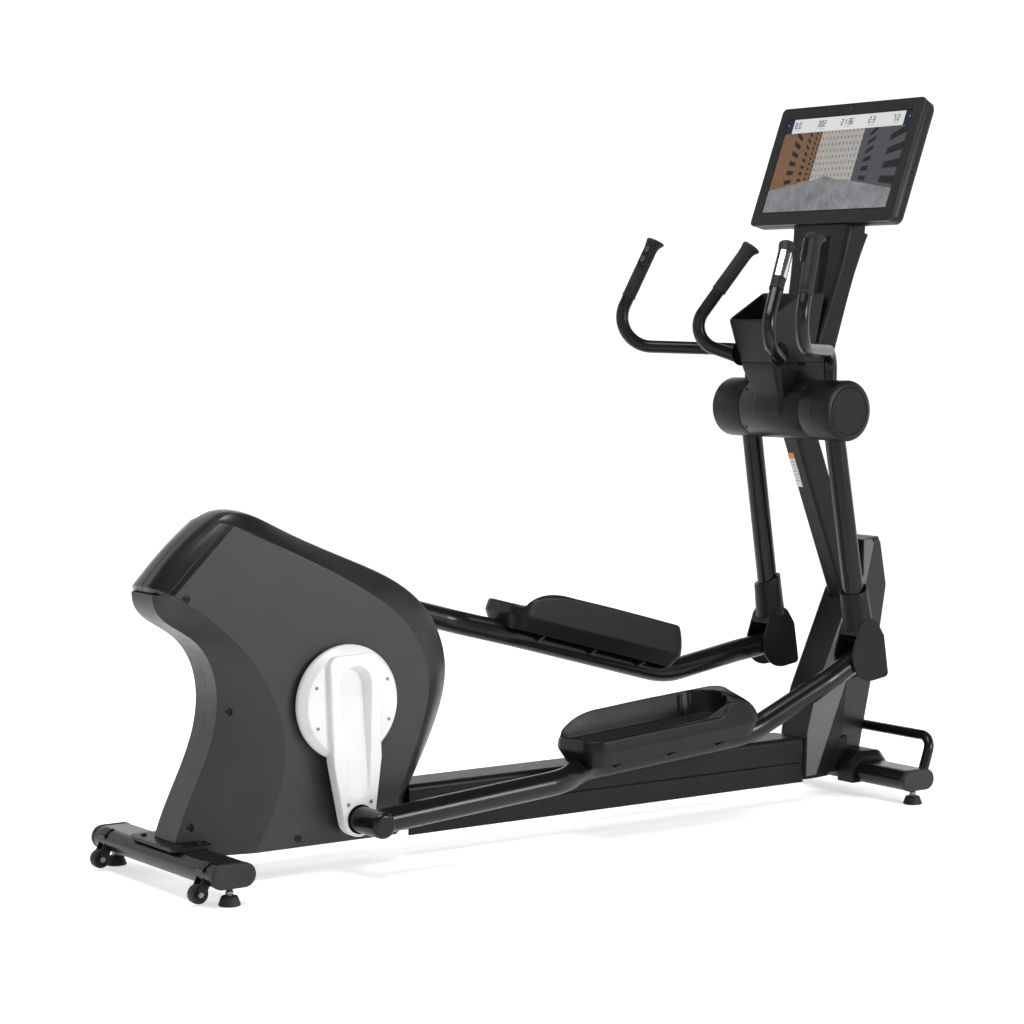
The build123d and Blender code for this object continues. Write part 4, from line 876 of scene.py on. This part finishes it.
def monitor_shell():
    """Deep back housing of the monitor, softly rounded towards its flat back."""
    rings = []
    for out, inset, radius in ((-0.0072, 0.0006, 0.014), (-0.0090, 0.0022, 0.014), (-0.0105, 0.0012, 0.014),
                               (-0.0380, 0.0030, 0.016), (-0.0450, 0.0060, 0.020), (-0.0500, 0.0130, 0.024),
                               (-0.0550, 0.0380, 0.034), (-0.0580, 0.0750, 0.040), (-0.0585, 0.0900, 0.040)):
        half, high, low = 0.279 - inset, 0.1717 - inset, -0.1749 + inset
        rings.append(round_corners(half, -half, high, low, radius,
                                   lambda right, up, level=out: screen_point(right, up, level)))
    piece_from("monitor_shell", skin("shell", rings), "frame", moulded, ("monitor_back",),
               sharp=40)
    port = turned([(0, -0.0003), (0.0030, -0.0003), (0.0030, 0.0005), (0.0020, 0.0006), (0, 0.0006)],
                  screen_point(0.2772, -0.030, -0.024), screen_right, 20)
    piece_from("monitor_port", port, "frame", flat_black_and_painted_shade)


def shroud_screws():
    heads = []
    for x, z, depth in ((-1.052, 0.664, 0.0945), (-0.924, 0.394, 0.056), (-1.024, 0.136, 0.050),
                        (-0.765, 0.089, 0.0945)):
        for sign in (1, -1):
            heads.append(screw(spot(x, sign * depth, z), (0, sign, 0), 0.0062, 0.0022))
    piece_from("shroud_screws", joined("heads", heads), "frame", steel_paint)


def drums():
    housing = turned([(0, -0.1190), (0.0760, -0.1190), (0.0780, -0.1183), (0.0790, -0.1165), (0.0790, 0.1165),
                      (0.0780, 0.1183), (0.0760, 0.1190), (0, 0.1190)], spot(pivot_x, 0, pivot_z),
                      (0, 1, 0), 96)
    piece_from("housing_shell", housing, "frame", moulded, ("pivot_housing",))
    notches = []
    for sign in (1, -1):
        for angle in (140, 220):
            facing = Vector((cos(radians(angle)), 0, sin(radians(angle))))
            notches.append(turned([(0, 0.0780), (0.0042, 0.0780), (0.0042, 0.0792), (0.0034, 0.0794),
                                   (0.0030, 0.0790), (0, 0.0790)],
                                  spot(pivot_x, sign * 0.106, pivot_z), facing, 20))
    piece_from("housing_plugs", joined("plugs", notches), "frame", flat_black_and_painted_shade)
    for hand, sign in hands:
        profile = [(0, 0.1198), (0.0770, 0.1198), (0.0788, 0.1206), (0.0794, 0.1222), (0.0794, 0.1722),
                   (0.0787, 0.1727), (0.0787, 0.1737), (0.0794, 0.1742), (0.0794, 0.2235), (0.0789, 0.2255),
                   (0.0775, 0.2268), (0.0640, 0.2316), (0.0628, 0.2317), (0.0620, 0.2300), (0.0606, 0.2300),
                   (0.0600, 0.2312), (0.0590, 0.2318), (0, 0.2320)]
        drum = turned(profile, spot(pivot_x, 0, pivot_z), (0, sign, 0), 96)
        piece_from(f"drum_shell_{hand}", drum, f"{hand}_arm", moulded, (f"drum_{hand}",),
                   sharp=24)


def feet():
    for end, x, y in (("rear", -1.044, 0.271), ("front", 1.044, 0.258)):
        for hand, sign in hands:
            base = spot(x, sign * y, 0)
            pad = turned([(0, 0), (0.0235, 0), (0.0250, 0.0012), (0.0251, 0.0035), (0.0240, 0.0060),
                          (0.0192, 0.0195), (0.0180, 0.0212), (0.0165, 0.0218), (0, 0.0218)], base,
                          (0, 0, 1), 48)
            body = f"{hand}_{end}_foot"
            piece_from(f"foot_pad_{end}_{hand}", pad, body, foot_rubber,
                       (f"foot_{end}_{hand}",))
            thread = [(0, 0.0210)]
            for k in range(18):
                thread += [(0.0050, 0.0212 + k * 0.0015), (0.0044, 0.0219 + k * 0.0015)]
            thread.append((0, 0.0480))
            stud = turned(thread, base, (0, 0, 1), 24)
            nut = turned([(0.0048, 0.0255), (0.0092, 0.0255), (0.0098, 0.0262), (0.0098, 0.0315),
                          (0.0092, 0.0322), (0.0048, 0.0322)], base, (0, 0, 1), 6)
            piece_from(f"foot_stud_{end}_{hand}", joined("stud", [stud, nut]), body,
                       screw_metal, sharp=30)


def caster_wheels():
    for hand, sign in hands:
        centre = spot(-1.104, sign * 0.236, 0.027)
        rim = [(0.0080, 0.0085), (0.0145, 0.0085), (0.0150, 0.0110), (0.0190, 0.0110), (0.0212, 0.0100),
               (0.0220, 0.0070)]
        half_turn = [(r, -d) for r, d in rim[2:]]
        tyre = turned(half_turn + rim[::-1] + [(0.0075, 0.0115), (0.0042, 0.0115), (0.0042, -0.0115),
                                               (0.0075, -0.0115), (0.0080, -0.0085), (0.0145, -0.0085),
                                               (0.0150, -0.0110)], centre, (0, 1, 0), 48)
        piece_from(f"caster_tyre_{hand}", tyre, f"{hand}_caster", foot_rubber,
                   (f"caster_wheel_{hand}",))
    caps = []
    for sign in (1, -1):
        for out in (1, -1):
            middle = spot(-1.104, sign * 0.236, 0.027)
            caps.append(turned([(0, 0.0150), (0.0062, 0.0150), (0.0068, 0.0160), (0.0062, 0.0178),
                                (0.0030, 0.0186), (0, 0.0188)], middle, (0, out, 0), 24))
    piece_from("caster_caps", joined("caps", caps), "frame", screw_metal)


def grip(name, body, bend, end, length, sign, radius, replaced):
    """Soft grip whose top flares forward into a hood, with a rolled lower edge and two seam rings."""
    low, high = spot(bend[0], sign * bend[1], bend[2]), spot(end[0], sign * end[1], end[2])
    along = (high - low).normalized()
    forward = Vector((1, 0, 0)) - along * along.x
    forward.normalize()
    other = along.cross(forward)
    start = high - along * length
    stations = [(0.000, 0.0172, 0.0), (0.0004, radius, 0.0), (0.002, radius + 0.0006, 0.0),
                (0.009, radius + 0.0006, 0.0), (0.0100, radius - 0.0006, 0.0), (0.0112, radius - 0.0006, 0.0),
                (0.0122, radius, 0.0), (0.040, radius, 0.0), (0.080, radius, 0.0),
                (length - 0.030, radius, 0.0),
                (length - 0.020, radius + 0.0004, 0.0015), (length - 0.012, radius + 0.0014, 0.0050),
                (length - 0.006, radius + 0.0026, 0.0098), (length - 0.001, radius + 0.0032, 0.0132),
                (length + 0.0020, radius + 0.0030, 0.0136), (length + 0.0038, radius + 0.0016, 0.0122),
                (length + 0.0046, radius - 0.0020, 0.0080), (length + 0.0048, radius - 0.010, 0.003)]
    rings = []
    for far, r, hood in stations:
        ring = []
        for k in range(40):
            a = 2 * pi * k / 40
            lift = max(0.0, cos(a)) ** 1.6 * hood
            tilt_up = -0.10 * hood * (1 - cos(a))
            ring.append(start + along * (far + tilt_up) + forward * (r + lift) * cos(a) + other * r * sin(a))
        rings.append(ring)
    piece_from(name, skin(name, rings), body, rubber, replaced, sharp=35)


def grips():
    for hand, sign in hands:
        grip(f"grip_cover_{hand}", f"{hand}_arm", (0.506, 0.386, 1.217), (0.621, 0.322, 1.498), 0.168, sign,
             0.0181, (f"grip_{hand}",))
        grip(f"fixed_grip_cover_{hand}", "frame", (0.596, 0.160, 1.238), (0.749, 0.073, 1.481), 0.147, sign,
             0.0190, ())
    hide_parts("fixed_grips")


def tray():
    """Rolled lip of the bin, rings where the fixed handles plug in, and latches on the seam."""
    half = 0.0755
    rim = bent([spot(0.872, -half, 1.3535), spot(0.798, -half, 1.3535), spot(0.679, -half, 1.2830),
                spot(0.679, half, 1.2830), spot(0.798, half, 1.3535), spot(0.872, half, 1.3535)],
               [0.02, 0.014, 0.014, 0.02], 8)
    piece_from("bin_lip", swept(rim, 0.0040, 14), "frame", moulded)
    rings, wells = [], []
    for sign in (1, -1):
        root = spot(0.722, 0, 1.197)
        rings.append(turned([(0.0250, 0.0770), (0.0330, 0.0770), (0.0330, 0.0782), (0.0318, 0.0792),
                             (0.0300, 0.0792), (0.0288, 0.0782), (0.0250, 0.0780)], root, (0, sign, 0), 48))
        # the dark discs inside the socket rings are painted shade in the sockets' hollows
        wells.append(turned([(0, 0.0770), (0.0286, 0.0770), (0.0286, 0.0782), (0, 0.0784)], root,
                            (0, sign, 0), 48))
    piece_from("bin_sockets", joined("rings", rings), "frame", moulded)
    piece_from("bin_socket_wells", joined("wells", wells), "frame", flat_black_and_painted_shade)
    rings = []
    for z, rear, front, across, radius in ((1.1738, 0.7125, 0.914, 0.0775, 0.022),
                                           (1.168, 0.712, 0.914, 0.0778, 0.022),
                                           (1.150, 0.7185, 0.908, 0.0735, 0.020),
                                           (1.125, 0.7285, 0.900, 0.0665, 0.019),
                                           (1.104, 0.7380, 0.893, 0.0610, 0.018),
                                           (1.090, 0.7430, 0.889, 0.0585, 0.017),
                                           (1.078, 0.7450, 0.886, 0.0590, 0.016),
                                           (1.066, 0.7435, 0.880, 0.0615, 0.015),
                                           (1.054, 0.7415, 0.870, 0.0640, 0.014),
                                           (1.042, 0.7420, 0.860, 0.0640, 0.014),
                                           (1.036, 0.7440, 0.850, 0.0620, 0.012)):
        rings.append(round_corners(front, rear, across, -across, radius,
                                   lambda x, y, level=z: spot(x, y, level)))
    piece_from("tray_saddle", skin("saddle", rings), "frame", moulded, ("tray_base",))
    latches = [bevelled(box_piece((x - 0.012, sign * 0.0785 - 0.0012, 1.1660),
                                  (x + 0.012, sign * 0.0785 + 0.0012, 1.1745)), 0.0008, 2)
               for sign in (1, -1) for x in (0.752, 0.800)]
    piece_from("bin_latches", joined("latches", latches), "frame", flat_black_and_painted_shade)


def face_point(name, x, y, z, direction, lift):
    """Point just above the surface of a CAD object, met from outside along a direction."""
    target = nodes[name]
    origin = target.matrix_world.inverted() @ spot(x, y, z)
    hit, place = target.ray_cast(origin, Vector(direction))[:2]
    assert hit, name
    return target.matrix_world @ place - Vector(direction) * lift


def console_recesses():
    """Painted shade of the tapered recesses on both sides of the console's rear face: thin dark sheets laid
    on the face.
    """
    slabs = []
    for sign in (1, -1):
        top_in, top_out, low_out, low_in = (0.010, 1.508), (0.044, 1.508), (0.049, 1.336), (0.030, 1.346)
        rings = []
        for k in range(9):
            share = k / 8
            inner = (top_in[0] + (low_in[0] - top_in[0]) * share, top_in[1] + (low_in[1] - top_in[1]) * share)
            outer = (top_out[0] + (low_out[0] - top_out[0]) * share,
                     top_out[1] + (low_out[1] - top_out[1]) * share)
            row = []
            for (y, z), lift in ((inner, -0.001), (outer, -0.001), (outer, 0.0005), (inner, 0.0005)):
                row.append(face_point("console_mast_rear", 0.60, sign * y, z, (1, 0, 0), lift))
            rings.append(row)
        slabs.append(skin("inset", rings))
    piece_from("console_recess_shade", joined("recess_shade_sheets", slabs), "frame", flat_black_and_painted_shade)


def mast_label():
    """Blank notice on the mast: an orange band over a pale field with plain grey rules."""
    foot, head = Vector((1.045, 0, 0.519)), Vector((0.842, 0, 1.035))
    along = (head - foot).normalized()
    back = Vector((-along.z, 0, along.x))
    if back.x > 0:
        back = -back

    def patch(y0, y1, z0, z1, low, high):
        corners = []
        for lift in (low, high):
            row = []
            for y, z in ((y0, z0), (y1, z0), (y1, z1), (y0, z1)):
                base = foot + back * 0.0365
                share = (z - base.z) / along.z
                point = base + along * share + back * lift
                row.append(spot(point.x, y, point.z))
            corners.append(row)
        return skin("patch", corners)

    piece_from("label_field", patch(0.004, 0.027, 0.838, 0.930, -0.0003, 0.0003), "frame", paper)
    piece_from("label_band", patch(0.005, 0.026, 0.915, 0.929, 0.0001, 0.0004), "frame", paper_orange)
    rules = [patch(0.007, 0.024 - 0.003 * (k % 3), 0.905 - k * 0.0085, 0.908 - k * 0.0085, 0.0001, 0.0004)
             for k in range(7)]
    piece_from("label_rules", joined("rules", rules), "frame", paper_grey)


def fork_collars():
    """Moulded collar on each moving arm: a lip cut on a slant at its top and a seam at its bottom."""
    for hand, sign in hands:
        def centre(distance, y):
            return spot(pivot_x + distance * sin(arm_lean), sign * y, pivot_z - distance * cos(arm_lean))

        top, low = centre(0.481, 0.173), centre(0.565, 0.1755)
        along = (low - top).normalized()
        forward = Vector((1, 0, 0)) - along * along.x
        forward.normalize()
        other = along.cross(forward) * sign
        rings = []
        for far, radius, slant in ((0.006, 0.0285, 1.0), (0.000, 0.0340, 1.0), (0.000, 0.0362, 1.0),
                                   (0.004, 0.0370, 1.0), (0.022, 0.0372, 0.4), (0.070, 0.0388, 0.0),
                                   (0.0745, 0.0388, 0.0), (0.0750, 0.0380, 0.0), (0.0765, 0.0380, 0.0),
                                   (0.0770, 0.0392, 0.0), (0.084, 0.0394, 0.0), (0.088, 0.0350, 0.0)):
            ring = []
            for k in range(48):
                a = 2 * pi * k / 48
                shift = -0.012 * slant * cos(a - 0.6)
                ring.append(top + along * (far + shift) + (forward * cos(a) + other * sin(a)) * radius)
            rings.append(ring)
        piece_from(f"fork_collar_{hand}", skin("collar", rings), f"{hand}_arm", moulded,
                   sharp=30)


def frame_screws():
    """Four bolts on the rear flange."""
    bolts = [screw(spot(-1.043 + dx, sign * 0.082, 0.1034), (0, 0, 1), 0.0075, 0.0045)
             for dx in (-0.026, 0.026) for sign in (1, -1)]
    piece_from("base_bolts", joined("bolts", bolts), "frame", steel_paint)


shroud_crown()
monitor_shell()
shroud_screws()
drums()
feet()
caster_wheels()
grips()
tray()
console_recesses()
mast_label()
fork_collars()
frame_screws()

for hand, sign in hands:
    pedal(hand, sign)
    crank_side(hand, sign)
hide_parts("crank_discs")
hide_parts("crank_arms")
display()

# ---- camera, floor and light ----------------------------------------------------------------
camera_data = bpy.data.cameras.new("camera")
camera = bpy.data.objects.new("camera", camera_data)
scene.collection.objects.link(camera)
camera_data.lens, camera_data.sensor_width, camera_data.clip_end = 93.61, 36.0, 60.0
camera_turn, camera_rise = radians(-35.59), radians(4.24)
behind = Vector((sin(camera_turn) * cos(camera_rise), -cos(camera_turn) * cos(camera_rise), sin(camera_rise)))
camera.rotation_mode = "QUATERNION"
camera.rotation_quaternion = behind.to_track_quat("Z", "Y")
camera.location = (datum - 3.9088, -5.3447, 1.2998)
scene.camera = camera


def stage_mesh(name, verts, faces, material):
    mesh = bpy.data.meshes.new(name)
    mesh.from_pydata(verts, [], faces)
    mesh.materials.append(material)
    for polygon in mesh.polygons:
        polygon.use_smooth = True
    piece = bpy.data.objects.new(name, mesh)
    scene.collection.objects.link(piece)
    piece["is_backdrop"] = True


# the floor and wall are a little greyer on one side, where the object's dark flanks would mirror them
pale_glow, grey_glow, pale_end, grey_start = 0.55, 0.30, 2.4, 4.2


def studio_floor():
    """A pale round floor that curves up into a pale wall all round, far from the object."""
    t = Tree("studio_floor")
    cloud = t.noise(0.9, 3.0)
    tone = t.mix(t.ramp(cloud, "Fac", 0.3, 0.7, 0.0, 1.0), "Result", grey(0.80), grey(0.84))
    aside = t.add("ShaderNodeVectorMath", operation="DOT_PRODUCT")
    t.link(t.coords, "Object", aside, 0)
    aside.inputs[1].default_value = (-0.72, -0.69, 0.0)
    shade = t.ramp(aside, "Value", pale_end, grey_start, 0.0, 1.0)
    t.link(t.mix(shade, "Result", (tone, 2), grey(0.64)), 2, t.shader, "Base Color")
    t.link(t.ramp(aside, "Value", pale_end, grey_start, pale_glow, grey_glow), "Result",
           t.shader, "Emission Strength")
    t.shader.inputs["Roughness"].default_value = 0.9
    t.shader.inputs["Specular IOR Level"].default_value = 0.1
    fine = t.noise(0.01, 2.0)
    t.link(t.bump(fine, "Fac", 0.0001), "Normal", t.shader, "Normal")
    t.shader.inputs["Emission Color"].default_value = (1, 1, 1, 1)
    steps, verts, faces = 72, [(0.0, 0.0, 0.0)], []
    rings = [(3.0, 0.0), (6.0, 0.0), (8.0, 0.0)]
    rings += [(8.0 + 3.0 * sin(a), 3.0 * (1 - cos(a))) for a in np.linspace(0.2, pi / 2, 8)]
    rings += [(11.0, 7.0)]
    for radius, height in rings:
        verts += [(radius * cos(2 * pi * i / steps), radius * sin(2 * pi * i / steps), height)
                  for i in range(steps)]
    for i in range(steps):
        faces.append((0, 1 + i, 1 + (i + 1) % steps))
    for r in range(len(rings) - 1):
        for i in range(steps):
            a, b = 1 + r * steps + i, 1 + r * steps + (i + 1) % steps
            faces.append((a, a + steps, b + steps, b))
    stage_mesh("studio_floor", verts, faces, t.material)


studio_floor()


def softbox(name, place, target, width, height, power):
    data = bpy.data.lights.new(name, "AREA")
    data.shape, data.size, data.size_y, data.energy = "RECTANGLE", width, height, power
    lamp = bpy.data.objects.new(name, data)
    scene.collection.objects.link(lamp)
    lamp.location = place
    lamp.rotation_mode = "QUATERNION"
    lamp.rotation_quaternion = (Vector(place) - Vector(target)).to_track_quat("Z", "Y")
    return lamp


softbox("light_top", (-0.9, -0.2, 4.4), (-0.2, 0, 0.5), 3.4, 2.0, 200)
softbox("light_key", (2.3, -4.6, 1.9), (-0.4, 0, 0.6), 1.3, 1.3, 150)
softbox("light_fill", (-4.5, -2.0, 1.9), (-0.2, 0, 0.6), 1.2, 1.6, 14)
# the back light only brightens edges, so the polished crown does not mirror it
softbox("light_back", (0.5, 4.6, 3.1), (0, 0, 0.8), 3.0, 1.2, 100).visible_glossy = False
world = bpy.data.worlds.new("studio")
world.use_nodes = True
world.node_tree.nodes["Background"].inputs["Color"].default_value = (1, 1, 1, 1)
world.node_tree.nodes["Background"].inputs["Strength"].default_value = 0.10
scene.world = world
scene.view_settings.view_transform = "Standard"
scene.view_settings.look = "None"

bpy.context.view_layer.update()
boxes = {"cad": cad_box, "visual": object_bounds()}
{key: [list(map(float, corner)) for corner in value] for key, value in boxes.items()}
